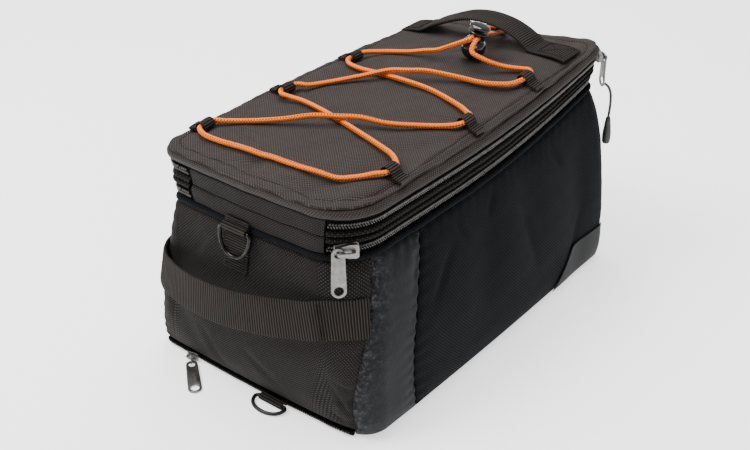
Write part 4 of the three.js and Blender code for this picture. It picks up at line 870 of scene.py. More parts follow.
woven = woven_cloth("woven cloth", (0.0018, 0.0014, 0.0012), (0.026, 0.0208, 0.0184), 1.25, 1.2, 0.7,
                    sheen=0.01, shine=0.16)
# painted shade: the front and the bands get darker copies of the lid's cloth, because less light falls on
# them
front_shaded_cloth = woven_cloth("front cloth", (0.0015, 0.0013, 0.0012), (0.0130, 0.0112, 0.0106), 1.25, 1.6, 0.75)
side_cloth = woven_cloth("side cloth", (0.0006, 0.0008, 0.0012), (0.0042, 0.0050, 0.0066), 1.45, 0.9, 0.75,
                         shine=0.06)
band_shaded_cloth = woven_cloth("band cloth", (0.0008, 0.0007, 0.0006), (0.0105, 0.0092, 0.0084), 1.9, 0.9, 0.75,
                         thread=0.0005)

# %% [markdown]
# The corner strips are cloth with a smooth coating. It is grey and satin, with a fine grain, and where
# it bends over the seam the coating is crushed into many tiny wrinkles. Their glints are painted into
# the colour as light grey specks: painted highlights. The seam mask says where.


# %% Coated cloth
def coated_cloth():
    """Satin cloth: the seam mask times the sixth power of a fine noise makes it smoother and paints
    highlights.
    """
    material, tree, shader = material_tree("coated cloth")
    seam = tree.nodes.new("ShaderNodeAttribute")
    seam.attribute_name = "seam"
    place = tree.nodes.new("ShaderNodeTexCoord")
    crush = tree.nodes.new("ShaderNodeTexNoise")
    crush.inputs["Scale"].default_value = 260
    crush.inputs["Detail"].default_value = 5
    crush.inputs["Roughness"].default_value = 0.7
    tree.links.new(place.outputs["Object"], crush.inputs["Vector"])
    patches = place_group(tree, patches_group, Scale=18.0, Contrast=0.8)
    math_node = Maths(tree)
    crush_and_glint = math_node("MULTIPLY", seam.outputs["Fac"], math_node("POWER", crush.outputs["Fac"], 6.0))
    base = colour_ramp(tree, patches.outputs[0], (0.0030, 0.0034, 0.0042), (0.0105, 0.0112, 0.0130))
    # painted highlight: the crushed share turns the colour light grey, as the glints of the tiny wrinkles
    bright = math_node("MINIMUM", math_node("MULTIPLY", crush_and_glint, 9.0), 1.0)
    colour = mix_colour(tree, bright, base, (0.17, 0.17, 0.18))
    tree.links.new(colour, shader.inputs["Base Color"])
    rough = math_node("SUBTRACT", 0.55, math_node("MINIMUM", math_node("MULTIPLY", crush_and_glint, 2.0), 0.3))
    tree.links.new(rough, shader.inputs["Roughness"])
    shader.inputs["Specular IOR Level"].default_value = 0.10
    crushed = math_node("ADD", math_node("MULTIPLY", seam.outputs["Fac"], 1.8), 0.12)
    bump(tree, shader, math_node("MULTIPLY", crush.outputs["Fac"], crushed), 0.0030)
    return material


coated = coated_cloth()

# %% [markdown]
# Webbing is woven from thick ribs that cross it. The ribs are in the mesh, so the material adds the
# fine threads that run over each rib as a bump, and paints the groove between them darker as painted shade.


# %% Webbing
THREAD_PITCH = 0.55


def webbing_cloth():
    """Ribs by a cosine of the way along, fine threads by a sine of the way across."""
    material, tree, shader = material_tree("ribbed webbing")
    along, across = cloth_axes(tree)
    math_node = Maths(tree)
    turn = math_node("MULTIPLY", along, 2 * math.pi / RIB_PITCH)
    rib = math_node("ADD", math_node("MULTIPLY", math_node("COSINE", turn), 0.5), 0.5)
    turn = math_node("MULTIPLY", across, math.pi / THREAD_PITCH)
    thread = math_node("ABSOLUTE", math_node("SINE", turn))
    patches = place_group(tree, patches_group, Scale=60.0, Contrast=0.6)
    # painted shade: the rib wave runs the colour from near black in the grooves to dark grey on the ribs
    shade_and_tone = math_node("ADD", math_node("MULTIPLY", rib, 0.75), math_node("MULTIPLY", patches.outputs[0], 0.25))
    base = colour_ramp(tree, shade_and_tone, (0.0002, 0.0001, 0.0001), (0.040, 0.0325, 0.0280), 0.2, 0.9)
    tree.links.new(base, shader.inputs["Base Color"])
    finish(shader, 0.7, 0.12)
    bump(tree, shader, math_node("ADD", rib, math_node("MULTIPLY", thread, 0.35)), 0.0003)
    return material


webbing = webbing_cloth()

# %% [markdown]
# The elastic cord is braided: the braid is a fine diamond bump, and dark rubber shows through in small
# ticks along two lines. The braid also paints the orange darker red in its grooves and lighter on its
# strands, as painted shade and highlight. The tube's own coordinates give the way along it and the way round
# it.


# %% Elastic cord
BRAID_PITCH = 2.3
BRAID_STRANDS = 4


def elastic_cord():
    """The braid is the higher of two waves that wind to the left and to the right."""
    material, tree, shader = material_tree("orange elastic")
    along, round_it = cloth_axes(tree)
    math_node = Maths(tree)
    step = math_node("DIVIDE", along, BRAID_PITCH)
    strand = math_node("MULTIPLY", round_it, BRAID_STRANDS)
    waves = [math_node("SINE", math_node("MULTIPLY", math_node(way, step, strand), 2 * math.pi))
             for way in ("ADD", "SUBTRACT")]
    braid = math_node("MAXIMUM", *waves)
    drift = math_node("MULTIPLY", along, 0.004)
    line = math_node("FRACT", math_node("ADD", math_node("MULTIPLY", round_it, 3), drift))
    on_line = math_node("LESS_THAN", math_node("ABSOLUTE", math_node("SUBTRACT", line, 0.5)), 0.13)
    tick = math_node("LESS_THAN", math_node("FRACT", step), 0.36)
    fleck = math_node("MULTIPLY", on_line, tick)
    # painted shade and highlight: dark red orange in the braid's grooves, light yellow orange on its strands
    base = colour_ramp(tree, braid, (0.74, 0.070, 0.0), (1.0, 0.25, 0.0), 0.0, 0.8)
    colour = mix_colour(tree, fleck, base, (0.020, 0.005, 0.002))
    tree.links.new(colour, shader.inputs["Base Color"])
    finish(shader, 0.55, 0.3)
    bump(tree, shader, math_node("SUBTRACT", braid, math_node("MULTIPLY", fleck, 1.2)), 0.00025)
    return material


elastic = elastic_cord()

# %% [markdown]
# Hardware: die-cast zinc is silver with a softly uneven skin, the ring is darker and smoother, and
# moulded plastic is black with a bright highlight. Each has faint handling marks in its roughness.


# %% Hard finishes
def hard_finish(name, low, high, metallic, rough_low, rough_high, scale, grain, coat=0.0, shine=0.5):
    """Slow noise moves the colour and the roughness between two values, fine noise is the grain."""
    material, tree, shader = material_tree(name)
    shader.inputs["Specular IOR Level"].default_value = shine
    patches = place_group(tree, patches_group, Scale=scale, Contrast=1.4)
    fine = place_group(tree, patches_group, Scale=scale * 9, Contrast=1.0)
    math_node = Maths(tree)
    tree.links.new(colour_ramp(tree, patches.outputs[0], low, high), shader.inputs["Base Color"])
    spread = math_node("MULTIPLY", patches.outputs[0], rough_high - rough_low)
    tree.links.new(math_node("ADD", spread, rough_low), shader.inputs["Roughness"])
    shader.inputs["Metallic"].default_value = metallic
    shader.inputs["Coat Weight"].default_value = coat
    bump(tree, shader, fine.outputs[0], grain)
    return material


# low and high colour, metallic, lowest and highest roughness, noise scale, grain, coat, shine
HARD_FINISHES = {
    "cast silver": ((0.10, 0.097, 0.092), (0.26, 0.253, 0.243), 1.0, 0.30, 0.50, 260, 0.00014),
    "dark wire": ((0.012, 0.0115, 0.011), (0.040, 0.038, 0.036), 1.0, 0.20, 0.34, 200, 0.00003),
    "gloss black": ((0.004, 0.004, 0.005), (0.010, 0.010, 0.011), 0.0, 0.08, 0.20, 160, 0.00002, 0.3),
    "ring black": ((0.004, 0.004, 0.004), (0.010, 0.010, 0.010), 0.0, 0.30, 0.45, 160, 0.00003, 0.0, 0.3),
    "grip rubber": ((0.008, 0.008, 0.008), (0.018, 0.018, 0.018), 0.0, 0.45, 0.65, 180, 0.00006),
    # painted highlight: the coil is coloured light grey so its bars show as the lit rows of the zip
    "zip coil": ((0.050, 0.047, 0.044), (0.15, 0.142, 0.134), 0.0, 0.22, 0.36, 300, 0.00002),
    "sewing thread": ((0.0010, 0.0009, 0.0008), (0.0050, 0.0046, 0.0042), 0.0, 0.5, 0.7, 700, 0.00006,
                      0.0, 0.15),
    "reflective film": ((0.006, 0.0063, 0.0070), (0.018, 0.0185, 0.0200), 0.0, 0.45, 0.60, 900, 0.00005,
                        0.0, 0.08),
}
silver, dark_metal, gloss_black, ring_black, rubber, coil, thread, film = (
    hard_finish(name, *row) for name, row in HARD_FINISHES.items())
tape = woven_cloth("zip tape", (0.0006, 0.0006, 0.0006), (0.0030, 0.0029, 0.0029), 0.8, 0.4, 0.8, shine=0.04)
print("materials", len(bpy.data.materials))

# %% [markdown]
# The body is sewn from six panels. A panel's cloth turns inwards at each seam and puffs a little
# between them, and near a seam it is gathered into small ripples that die away over a centimetre.

# %% Body panels
SEAMS = {
    "front right": ([0, 0.25, 0.5, 0.8, 1], [7.24, 7.38, 7.56, 7.74, 7.82]),
    "side right": ([0, 0.5, 1], [8.112, 8.112, 8.149]),
    "rear right": ([0, 1], [10, 10]),
    "rear left": ([0, 1], [11, 11]),
    "side left": ([0, 0.5, 1], [12.888, 12.888, 12.851]),
    "front left": ([0, 0.25, 0.5, 0.8, 1], [13.60, 13.50, 13.36, 13.18, 13.12]),
}
SEAM_TUCK = 1.9
SEAM_WIDTH = 2.3
PANEL_PUFF = 1.3
GATHER = 0.60


def seam_walk(seam, height, shift=0):
    """Walk number of a seam at a height."""
    places, walks = SEAMS[seam]
    return smooth_table(walks, places, np.asarray(height) / BODY_HEIGHT) + shift


def panel(name, start, end, shifts, columns, material, node, seed, foot=GAP, gathers=(1, 1)):
    """A wall panel between two seams: columns run from seam to seam, rows from the foot to the hem."""
    rows = 84
    share = np.linspace(0, 1, columns + 1)
    share = share - 0.06 * np.sin(2 * np.pi * share) / 1.2
    height = np.linspace(foot, BODY_HEIGHT, rows + 1)[:, None]
    first = seam_walk(start, height, shifts[0])
    last = seam_walk(end, height, shifts[1])
    walk = first + (last - first) * share
    base = wall_point(walk, height + 0 * walk)
    x, y = base[..., 0], base[..., 1]
    steps = np.linalg.norm(np.diff(base, axis=1), axis=-1)
    along = np.concatenate([np.zeros((rows + 1, 1)), np.cumsum(steps, axis=1)], 1)
    from_start, from_end = along, along[:, -1:] - along
    from_foot, from_top = height - foot + 0 * along, BODY_HEIGHT - height + 0 * along
    nearest = np.minimum(np.minimum(from_start, from_end), np.minimum(from_foot, from_top))
    tuck = -SEAM_TUCK * np.exp(-((nearest / SEAM_WIDTH) ** 2))
    puff = PANEL_PUFF * (1 - np.exp(-((nearest / 14) ** 2)))
    beat = ripple(base, 60, seed + 3)
    gather = GATHER * (
        gathers[0] * np.exp(-from_start / 9) * np.sin(2 * np.pi * height / 11 + 2 * beat)
        + gathers[1] * np.exp(-from_end / 9) * np.sin(2 * np.pi * height / 10 + 2.4 * beat)
        + 0.8 * np.exp(-from_top / 8) * np.sin(2 * np.pi * along / 12 + 2 * beat))
    uneven = 0.50 * ripple(base, 70, seed) + 0.16 * ripple(base, 24, seed + 1)
    fine = -pressed_in(x, y, height + 0 * x, CREASES)
    fine *= 1 - np.exp(-((nearest / 6) ** 2))
    uneven *= 1 - np.exp(-((nearest / 10) ** 2))
    stand = tuck + puff + gather + fine + uneven
    points = base + outward(walk, height) * stand[..., None]
    middle = along[rows // 2]
    uv = np.stack([middle[None] + 0 * along, height + 0 * along], -1)
    # Nearness to the seams; on the coated strips it places the crushed wrinkles and their painted highlights
    mask = np.exp(-from_start / 7) + 0.35 * np.exp(-from_end / 3)
    piece = surface(name, points, uv, seam=np.clip(mask, 0, 1))
    thicken(piece, WALL)
    return dress(piece, material, [node])


panel("side_cloth_right", "side right", "rear right", (0, 0), 190,
      side_cloth, "side_panel_right", 11)
panel("rear_cloth", "rear right", "rear left", (0, 0), 60,
      woven, "rear_panel", 12)
panel("side_cloth_left", "rear left", "side left", (0, 0), 190,
      side_cloth, "side_panel_left", 13)
panel("corner_strip_left", "side left", "front left", (0, 0), 60,
      coated, "corner_panel_front_left", 14)
panel("front_cloth", "front left", "front right", (-TURN, 0), 130,
      front_shaded_cloth, "front_panel", 15, foot=BASE_ZIP_HEIGHT)
panel("corner_strip_right", "front right", "side right", (0, 0), 70,
      coated, "corner_panel_front_right", 16)
print("body panels done")

# %% [markdown]
# Above the body come the bands: a rolled hem, a zip, two rolled edges, a second zip and the lid's
# border. Each is one profile carried round the bag. A profile is a few points of height and stand,
# joined by a smooth curve, with a straight back.

# %% Bands
BAND_STEP = 2.6


def band_profile(rows, count=26):
    """Smooth curve through the profile's points, then the two corners of the back."""
    rows = np.asarray(rows, float)
    places = run_length(rows * [10, 1])
    at = np.linspace(0, places[-1], count)
    face = np.stack([smooth_table(rows[:, k], places, at) for k in (0, 1)], -1)
    return np.vstack([face, [[1, -BAND_DEPTH], [0, -BAND_DEPTH]]])


def band(name, rows, bottom, height, start, end, material, node, closed=False, seed=1, uneven=0.22):
    """A profile carried along the bag's outline at its own height."""
    profile = band_profile(rows)
    walks, distance = even_walks(start, end, bottom + height / 2, BAND_STEP)
    if closed:
        walks = walks[:-1]
    level = bottom + profile[:, 0] * height
    stand = np.broadcast_to(profile[:, 1], (len(walks), len(profile))).copy()
    base = wall_point(walks[:, None], level[None])
    face = profile[:, 1] > -BAND_DEPTH + 0.01
    stand += uneven * ripple(base, 26, seed) * face
    points = wall_point(walks[:, None], level[None] + 0 * stand, stand)
    around = run_length(profile * [height, 1])
    uv = cloth_uv(distance, np.append(around, around[-1] + height))
    piece = surface(name, points, uv, wrap_rows=closed, wrap_columns=True, caps=not closed)
    return dress(piece, material, node.split())


ROLL = [(0, -0.5), (0.12, 0.9), (0.34, 1.8), (0.66, 1.9), (0.9, 0.9), (1, -0.5)]
TWO_ROLLS = [(0, -0.4), (0.08, 1.1), (0.24, 1.9), (0.40, 1.2), (0.50, -1.3), (0.60, 1.2), (0.76, 1.9),
             (0.92, 1.1), (1, -0.4)]
TAPE = [(0, -0.9), (0.2, -1.0), (0.34, -0.2), (0.5, -0.5), (0.66, -0.2), (0.8, -1.0), (1, -0.9)]
FLAP = [(0, -0.4), (0.06, 0.6), (0.2, 1.1), (0.5, 1.3), (0.8, 1.1), (0.94, 0.6), (1, -0.4)]
FLAP_HEIGHT = ZIP_HEIGHT + GUSSET_HEIGHT / 2
WALK_GAP = 0.02

zip_start = front_walk(FLAP_RIGHT, LOWER_ZIP) - TURN
zip_end = front_walk(-FLAP_LEFT, LOWER_ZIP)
flap_start, flap_end = zip_end + WALK_GAP, zip_start + TURN - WALK_GAP
base_start = float(seam_walk("front left", 0)) - TURN + WALK_GAP
base_end = float(seam_walk("front right", 0)) - WALK_GAP

band("hem_roll", ROLL, HEM_BOTTOM, HEM_HEIGHT, 0, TURN,
     side_cloth, "body_hem", closed=True, seed=21)
band("lower_zip_tape", TAPE, LOWER_ZIP, ZIP_HEIGHT, zip_start, zip_end,
     tape, "lower_zip_front lower_zip_corner lower_zip", seed=22, uneven=0.1)
band("gusset_rolls", TWO_ROLLS, GUSSET, GUSSET_HEIGHT, zip_start, zip_end,
     band_shaded_cloth, "gusset_band", seed=23)
band("upper_zip_tape", TAPE, UPPER_ZIP, ZIP_HEIGHT, zip_start, zip_end,
     tape, "upper_zip", seed=24, uneven=0.1)
band("lid_border_roll", ROLL, BORDER, BORDER_HEIGHT, 0, TURN,
     woven, "lid_border", closed=True, seed=25)
band("front_flap_lower", FLAP, LOWER_ZIP, FLAP_HEIGHT, flap_start, flap_end,
     front_shaded_cloth, "front_band_lower", seed=26, uneven=0.5)
band("front_flap_upper", FLAP, LOWER_ZIP + FLAP_HEIGHT, FLAP_HEIGHT, flap_start, flap_end,
     front_shaded_cloth, "front_band_upper", seed=27, uneven=0.5)
band("base_zip_tape", ROLL, GAP / 2, BASE_ZIP_HEIGHT - GAP, base_start, base_end,
     tape, "base_zip", seed=28)
print("bands done")

# %% [markdown]
# A coil zip is a spiral of nylon wire on each of its two tapes. From outside it shows as two rows of
# close slanting bars that meet in the middle. One small bar is copied along the tape a few hundred
# times, with its axes taken from the wall at that place.

# %% Zip coils
COIL_PITCH = 2.1
COIL_ROW = 1.45
COIL_SLANT = 0.6


def coil_rows(name, start, end, centre, stand, rows=(-1, 1), spread=COIL_ROW, length=2.5):
    """Bars of one coil zip: for each row the bars lie up and down the wall and lean along it."""
    origins, axes = [], []
    walks, _ = even_walks(start, end, centre, COIL_PITCH)
    for row in rows:
        level = centre + row * spread + 0 * walks
        shifted = walks if row < 0 else (walks[:-1] + walks[1:]) / 2
        level = level[: len(shifted)]
        here = wall_point(shifted, level, stand)
        up = unit(wall_point(shifted, level + 0.5, stand) - here)
        out = outward(shifted, level)
        side = unit(np.cross(up, out))
        lie = unit(up + row * COIL_SLANT * side)
        out = unit(out - (out * lie).sum(-1, keepdims=True) * lie)
        origins.append(here)
        axes.append(np.stack([lie, np.cross(out, lie), out], 1))
    bar, faces = bar_template(length, 1.0, 1.5)
    piece = scatter(name, bar, faces, np.vstack(origins), np.vstack(axes))
    return dress(piece, coil, [])


for name, zip_bottom in (("lower_zip_coil", LOWER_ZIP), ("upper_zip_coil", UPPER_ZIP)):
    coil_rows(name, zip_start + WALK_GAP, zip_end - WALK_GAP, zip_bottom + ZIP_HEIGHT / 2, 0.45)
coil_rows("base_zip_coil", base_start + 0.05, base_end - 0.05, BASE_ZIP_HEIGHT * 0.55, 1.9,
          rows=(1,), spread=0.6, length=1.9)
print("zip coils done")

# %% [markdown]
# The lid is one sheet over the whole top. Its grid runs in rings from the middle to the edge, so the
# rim follows the border exactly. Creases, soft ripples and a thin sewn channel inside the edge are
# heights added to the dome.

# %% Lid cloth
LID_RINGS = 90
LID_INSET = 0.4
CHANNEL_FROM_EDGE = 7.0
CHANNEL_DEPTH = 0.9
LONGEST_WAY = 150


def lid_distance(walks, share):
    """Distance in millimetres from the lid's edge, for points at a share of the way out."""
    x, y = flat_outline(walks, SEAM_HEIGHT)
    return (1 - share) * np.minimum(np.hypot(x, y), LONGEST_WAY)


def lid_skin(x, y, from_edge, seed=31):
    """The dome with its smaller creases, ripples and the sewn channel near the edge."""
    base = np.stack([x, y, 0 * x], -1)
    calm = np.minimum(from_edge / 12, 1)
    channel = CHANNEL_DEPTH * np.exp(-(((from_edge - CHANNEL_FROM_EDGE) / 1.1) ** 2))
    gather = 0.50 * np.exp(-np.maximum(from_edge - CHANNEL_FROM_EDGE, 0) / 8) * ripple(base, 13, seed + 5)
    uneven = calm * (0.85 * ripple(base, 62, seed) + 0.26 * ripple(base, 22, seed + 1))
    return lid_top(x, y) - calm * lid_grooves(x, y, LID_CREASES) - channel + gather + uneven


lid_walks = even_walks(0, TURN, SEAM_HEIGHT, BAND_STEP)[0][:-1]
edge_x, edge_y = flat_outline(lid_walks, SEAM_HEIGHT, LID_INSET)
shares = 1 - (1 - np.linspace(1, 0.004, LID_RINGS)) ** 1.25
lid_x = shares[:, None] * edge_x[None]
lid_y = shares[:, None] * edge_y[None]
lid_z = lid_skin(lid_x, lid_y, lid_distance(lid_walks[None], shares[:, None]))
lid_points = np.stack([lid_x, lid_y, lid_z], -1)
lid_uv = lid_points[..., :2]
lid_uv = np.concatenate([lid_uv, lid_uv[:, :1]], 1)
lid_faces, lid_corners = grid_faces(*lid_points.shape[:2], wrap_columns=True)
lid_vertices = lid_points.reshape(-1, 3)
corner_uv = np.stack([lid_uv[i, j] for i, j in lid_corners], -2).reshape(-1, 4, 2)
if turned_in(lid_vertices, lid_faces, False):
    lid_faces = lid_faces[:, ::-1]
    corner_uv = corner_uv[:, ::-1]
inner_ring = list(range((LID_RINGS - 1) * len(lid_walks), LID_RINGS * len(lid_walks)))
lid_face_list = lid_faces.tolist() + [inner_ring]
pole_uv = lid_points[-1, :, :2]
lid = new_piece("lid_cloth", lid_vertices, lid_face_list, np.vstack([corner_uv.reshape(-1, 2), pole_uv]))
thicken(lid, WALL)
dress(lid, woven, ["lid_panel"])

seam_walks, _ = even_walks(0, TURN, SEAM_HEIGHT, 1.5)
seam_x, seam_y = flat_outline(seam_walks, SEAM_HEIGHT, LID_INSET)
seam_share = 1 - CHANNEL_FROM_EDGE / np.minimum(np.hypot(seam_x, seam_y), LONGEST_WAY)
seam_line = np.stack([seam_x * seam_share, seam_y * seam_share], -1)
seam_high = lid_skin(seam_line[:, 0], seam_line[:, 1], np.full(len(seam_walks), CHANNEL_FROM_EDGE)) + 0.25
lid_seam = stitches("lid_edge_stitches", [np.column_stack([seam_line, seam_high])], [(0, 0, 1)])
dress(lid_seam, thread, [])
print("lid done")

# %% [markdown]
# The base is a flat stiff board wrapped in cloth. It is a closed slab: two flat faces and a rim.

# %% Base board
BASE_THICKNESS = 2.6
BASE_INSET = BAND_DEPTH + GAP * 2
base_walks, _ = even_walks(0, TURN, 0, 5)
base_x, base_y = flat_outline(base_walks[:-1], 0, BASE_INSET)
base_half = [(0.02, 0.0), (0.5, 0.0), (0.985, 0.0), (1, 0.5)]
base_rings = base_half + [(share, BASE_THICKNESS - z) for share, z in base_half[::-1]]
base_points = np.stack([np.column_stack([base_x * s, base_y * s, 0 * base_x + z]) for s, z in base_rings])
base_uv = np.concatenate([base_points, base_points[:, :1]], 1)[..., :2]
base_board = surface("base_board", base_points, base_uv, wrap_columns=True, caps=True)
dress(base_board, woven, ["base_panel"])

# %% [markdown]
# Pieces on the lid get a frame of their own: its first axis points at the edge, and it is tilted to the
# slope of the dome there. The same small sum is used for the cord's loops and the anchor.


# %% Frames on the lid and on the wall
def placing(axes, at):
    """A placing matrix from three axes and a place."""
    matrix = np.eye(4)
    matrix[:3, :3] = np.column_stack(axes)
    matrix[:3, 3] = at
    return matrix


def lid_frame(x, y, yaw, reach_x, reach_y):
    """A placing matrix on the lid: slopes come from two heights each way, the lift clears the highest."""
    angle = math.radians(yaw)
    ex = np.array([math.cos(angle), math.sin(angle), 0])
    ey = np.array([-math.sin(angle), math.cos(angle), 0])
    height = lambda u, v: float(lid_top(x + ex[0] * u + ey[0] * v, y + ex[1] * u + ey[1] * v))
    slope_x = (height(reach_x, 0) - height(-reach_x, 0)) / (2 * reach_x)
    slope_y = (height(0, reach_y) - height(0, -reach_y)) / (2 * reach_y)
    axis_x = unit(ex + [0, 0, slope_x])
    axis_z = unit(np.cross(axis_x, ey + [0, 0, slope_y]))
    axis_y = np.cross(axis_z, axis_x)
    u, v = np.meshgrid(np.linspace(-reach_x, reach_x, 9), np.linspace(-reach_y, reach_y, 9))
    spots = u[..., None] * axis_x + v[..., None] * axis_y
    lift = (lid_top(x + spots[..., 0], y + spots[..., 1]) - spots[..., 2]).max()
    return placing([axis_x, axis_y, axis_z], [x, y, lift + GAP])


def carried(matrix, points):
    """Points in a frame's own measures, put into the bag's."""
    return np.asarray(points, float) @ matrix[:3, :3].T + matrix[:3, 3]


def wall_frame(walk, height, stand):
    """A placing matrix on the wall: first axis along the walk, second into the bag, third up."""
    inward = -outward(walk, height)
    at = wall_point(walk, np.float64(height)) - inward * stand
    return placing([np.cross(inward, [0, 0, 1]), inward, [0, 0, 1]], at)


def turn_x(degrees):
    """Matrix that turns about the first axis."""
    a = math.radians(degrees)
    matrix = np.eye(4)
    matrix[1:3, 1:3] = [[math.cos(a), -math.sin(a)], [math.sin(a), math.cos(a)]]
    return matrix


def moved(x, y, z):
    """Matrix that moves without turning."""
    return placing(np.eye(3), [x, y, z])


# %% [markdown]
# Six short loops of webbing are sewn to the lid's edges. Each is one strip that runs in from the edge,
# turns round the cord and lies back on itself, with a row of stitches across the two layers.

# %% Cord loops
CORD_DIAMETER = 4.2
LOOP_WIDTH = 11.5
LOOP_REACH = 20
LOOP_WALL = 1.2
HOLE_WIDTH = CORD_DIAMETER + 4.6
HOLE_HEIGHT = CORD_DIAMETER + 1.5
ANCHOR_REACH = 14
ANCHOR_WIDTH = 4.8
HANDLE_Y = BAG_LENGTH / 2 - 36
# side, distance from the lid's edge, place along as a share of half the length
LOOPS = {
    "right_front": (1, 8, -0.621),
    "right_middle": (1, 9, -0.063),
    "right_rear": (1, 10, 0.437),
    "left_front": (-1, 11, -0.787),
    "left_middle": (-1, 17, -0.293),
    "left_rear": (-1, 19, 0.201),
}


def loop_frame(side, from_edge, along):
    """The placing matrix of a loop on one side of the lid."""
    x = side * (LID_WIDTH / 2 - from_edge)
    return lid_frame(x, along * BAG_LENGTH / 2, 0 if side > 0 else 180, LOOP_REACH / 2, LOOP_WIDTH / 2)


def loop_strip(name, matrix, reach, width, node):
    """Webbing that turns round the cord's hole and lies double on its tail."""
    inner = -reach / 2
    half = LOOP_WALL / 2
    middle = inner + LOOP_WALL + HOLE_WIDTH / 2
    top = HOLE_HEIGHT + LOOP_WALL * 1.5
    route = [
        (reach / 2, half), (middle + HOLE_WIDTH * 0.4, half), (middle, half),
        (middle - HOLE_WIDTH * 0.38, half * 1.6), (inner + half, top * 0.5),
        (middle - HOLE_WIDTH * 0.36, top * 0.92), (middle, top), (middle + HOLE_WIDTH * 0.42, top * 0.80),
        (middle + HOLE_WIDTH * 0.72, half * 4.4), (reach / 2, half * 3.2),
    ]
    path = centripetal(route, 0.35)
    centre = carried(matrix, np.column_stack([path[:, 0], 0 * path[:, 0], path[:, 1]]))
    across = np.broadcast_to(matrix[:3, 1], centre.shape)
    piece = strap(name, centre, across, width, LOOP_WALL * 0.8, square=6, sides=24)
    return dress(piece, webbing, [node])


loop_frames = {}
stitch_paths, stitch_normals = [], []
for name, (side, from_edge, along) in LOOPS.items():
    matrix = loop_frame(side, from_edge, along)
    loop_frames[name] = matrix
    loop_strip("loop_" + name, matrix, LOOP_REACH, LOOP_WIDTH, "cord_loop_" + name)
    across = np.linspace(-LOOP_WIDTH * 0.42, LOOP_WIDTH * 0.42, 6)
    for at in (LOOP_REACH / 2 - 1.6, LOOP_REACH / 2 - 6.5):
        row = np.column_stack([0 * across + at, across, 0 * across + LOOP_WALL * 2.25])
        stitch_paths.append(carried(matrix, row))
        stitch_normals.append(matrix[:3, 2])
anchor_frame = lid_frame(-2, HANDLE_Y + 24, 90, ANCHOR_REACH / 2, ANCHOR_WIDTH / 2)
loop_strip("anchor_loop", anchor_frame, ANCHOR_REACH, ANCHOR_WIDTH, "cord_anchor")
loop_seams = stitches("loop_stitches", stitch_paths, stitch_normals, pitch=1.9, length=1.4, width=0.6)
dress(loop_seams, thread, [])
print("loops", len(LOOPS) + 1)

# %% [markdown]
# The lock is a glossy ball with a neck, a collar and a round press button. The cord's two ends run
# side by side through a slot under the collar. The ball is turned on a lathe and the slot is cut out.

# %% Cord lock
BALL_RADIUS = 10.5
NECK_RADIUS = 7
HEAD_RADIUS = 9
STEM_RADIUS = 4
BORE_RADIUS = 4.4
CORD_RADIUS = CORD_DIAMETER / 2
LOCK_TRAVEL = 2.2
SLOT_HALF = CORD_RADIUS + GAP * 1.5
SLOT_LEVEL = BALL_RADIUS - CORD_RADIUS * 0.5
COLLAR_BOTTOM = SLOT_LEVEL + SLOT_HALF + 0.9
COLLAR_TOP = COLLAR_BOTTOM + 2
HEAD_BOTTOM = COLLAR_TOP + LOCK_TRAVEL + 0.5
STEM_BOTTOM = SLOT_LEVEL + CORD_RADIUS + GAP + LOCK_TRAVEL
LOCK_X, LOCK_Y = 21, HANDLE_Y - 55

lock_up = unit(np.array([0.22, 0.18, 0.96]))
lock_across = unit(np.cross([-0.24, 0.96, 0], lock_up))
lock_at = [LOCK_X, LOCK_Y, float(lid_top(LOCK_X, LOCK_Y)) + BALL_RADIUS + GAP * 2]
lock_frame = placing([lock_across, np.cross(lock_up, lock_across), lock_up], lock_at)

ball_angles = np.linspace(-math.pi / 2 * 0.97, math.acos(NECK_RADIUS / BALL_RADIUS), 26)
barrel_profile = [(BALL_RADIUS * math.cos(a), BALL_RADIUS * math.sin(a)) for a in ball_angles]
barrel_profile += [
    (NECK_RADIUS * 0.985, BALL_RADIUS * 0.80), (NECK_RADIUS * 0.98, COLLAR_BOTTOM - 0.5),
    (NECK_RADIUS + 0.4, COLLAR_BOTTOM), (HEAD_RADIUS - 0.9, COLLAR_BOTTOM + 0.25),
    (HEAD_RADIUS - 0.4, COLLAR_BOTTOM + 0.8), (HEAD_RADIUS - 0.4, COLLAR_TOP - 0.6),
    (HEAD_RADIUS - 0.8, COLLAR_TOP - 0.15), (HEAD_RADIUS - 1.4, COLLAR_TOP),
    (BORE_RADIUS + 0.2, COLLAR_TOP), (BORE_RADIUS, COLLAR_TOP - 0.4), (BORE_RADIUS, SLOT_LEVEL),
]
barrel = lathe("lock_barrel", barrel_profile, lock_frame, 64)

slot_corners = np.array([(x, y, z) for x in (-1, 1) for y in (-1, 1) for z in (-1, 1)], float)
slot_corners = slot_corners * [CORD_DIAMETER + 1.05, BALL_RADIUS * 2, SLOT_HALF] + [0, 0, SLOT_LEVEL]
slot_faces = [(0, 1, 3, 2), (4, 6, 7, 5), (0, 4, 5, 1), (2, 3, 7, 6), (0, 2, 6, 4), (1, 5, 7, 3)]
cutter = new_piece("slot_cutter", carried(lock_frame, slot_corners), slot_faces)
cut = barrel.modifiers.new("slot", "BOOLEAN")
cut.operation = "DIFFERENCE"
cut.object = cutter
cut.solver = "EXACT"
bpy.context.view_layer.update()
cut_mesh = bpy.data.meshes.new_from_object(barrel.evaluated_get(bpy.context.evaluated_depsgraph_get()))
barrel.modifiers.clear()
barrel.data = cut_mesh
bpy.data.objects.remove(cutter)
dress(barrel, gloss_black, ["cord_lock_barrel"])

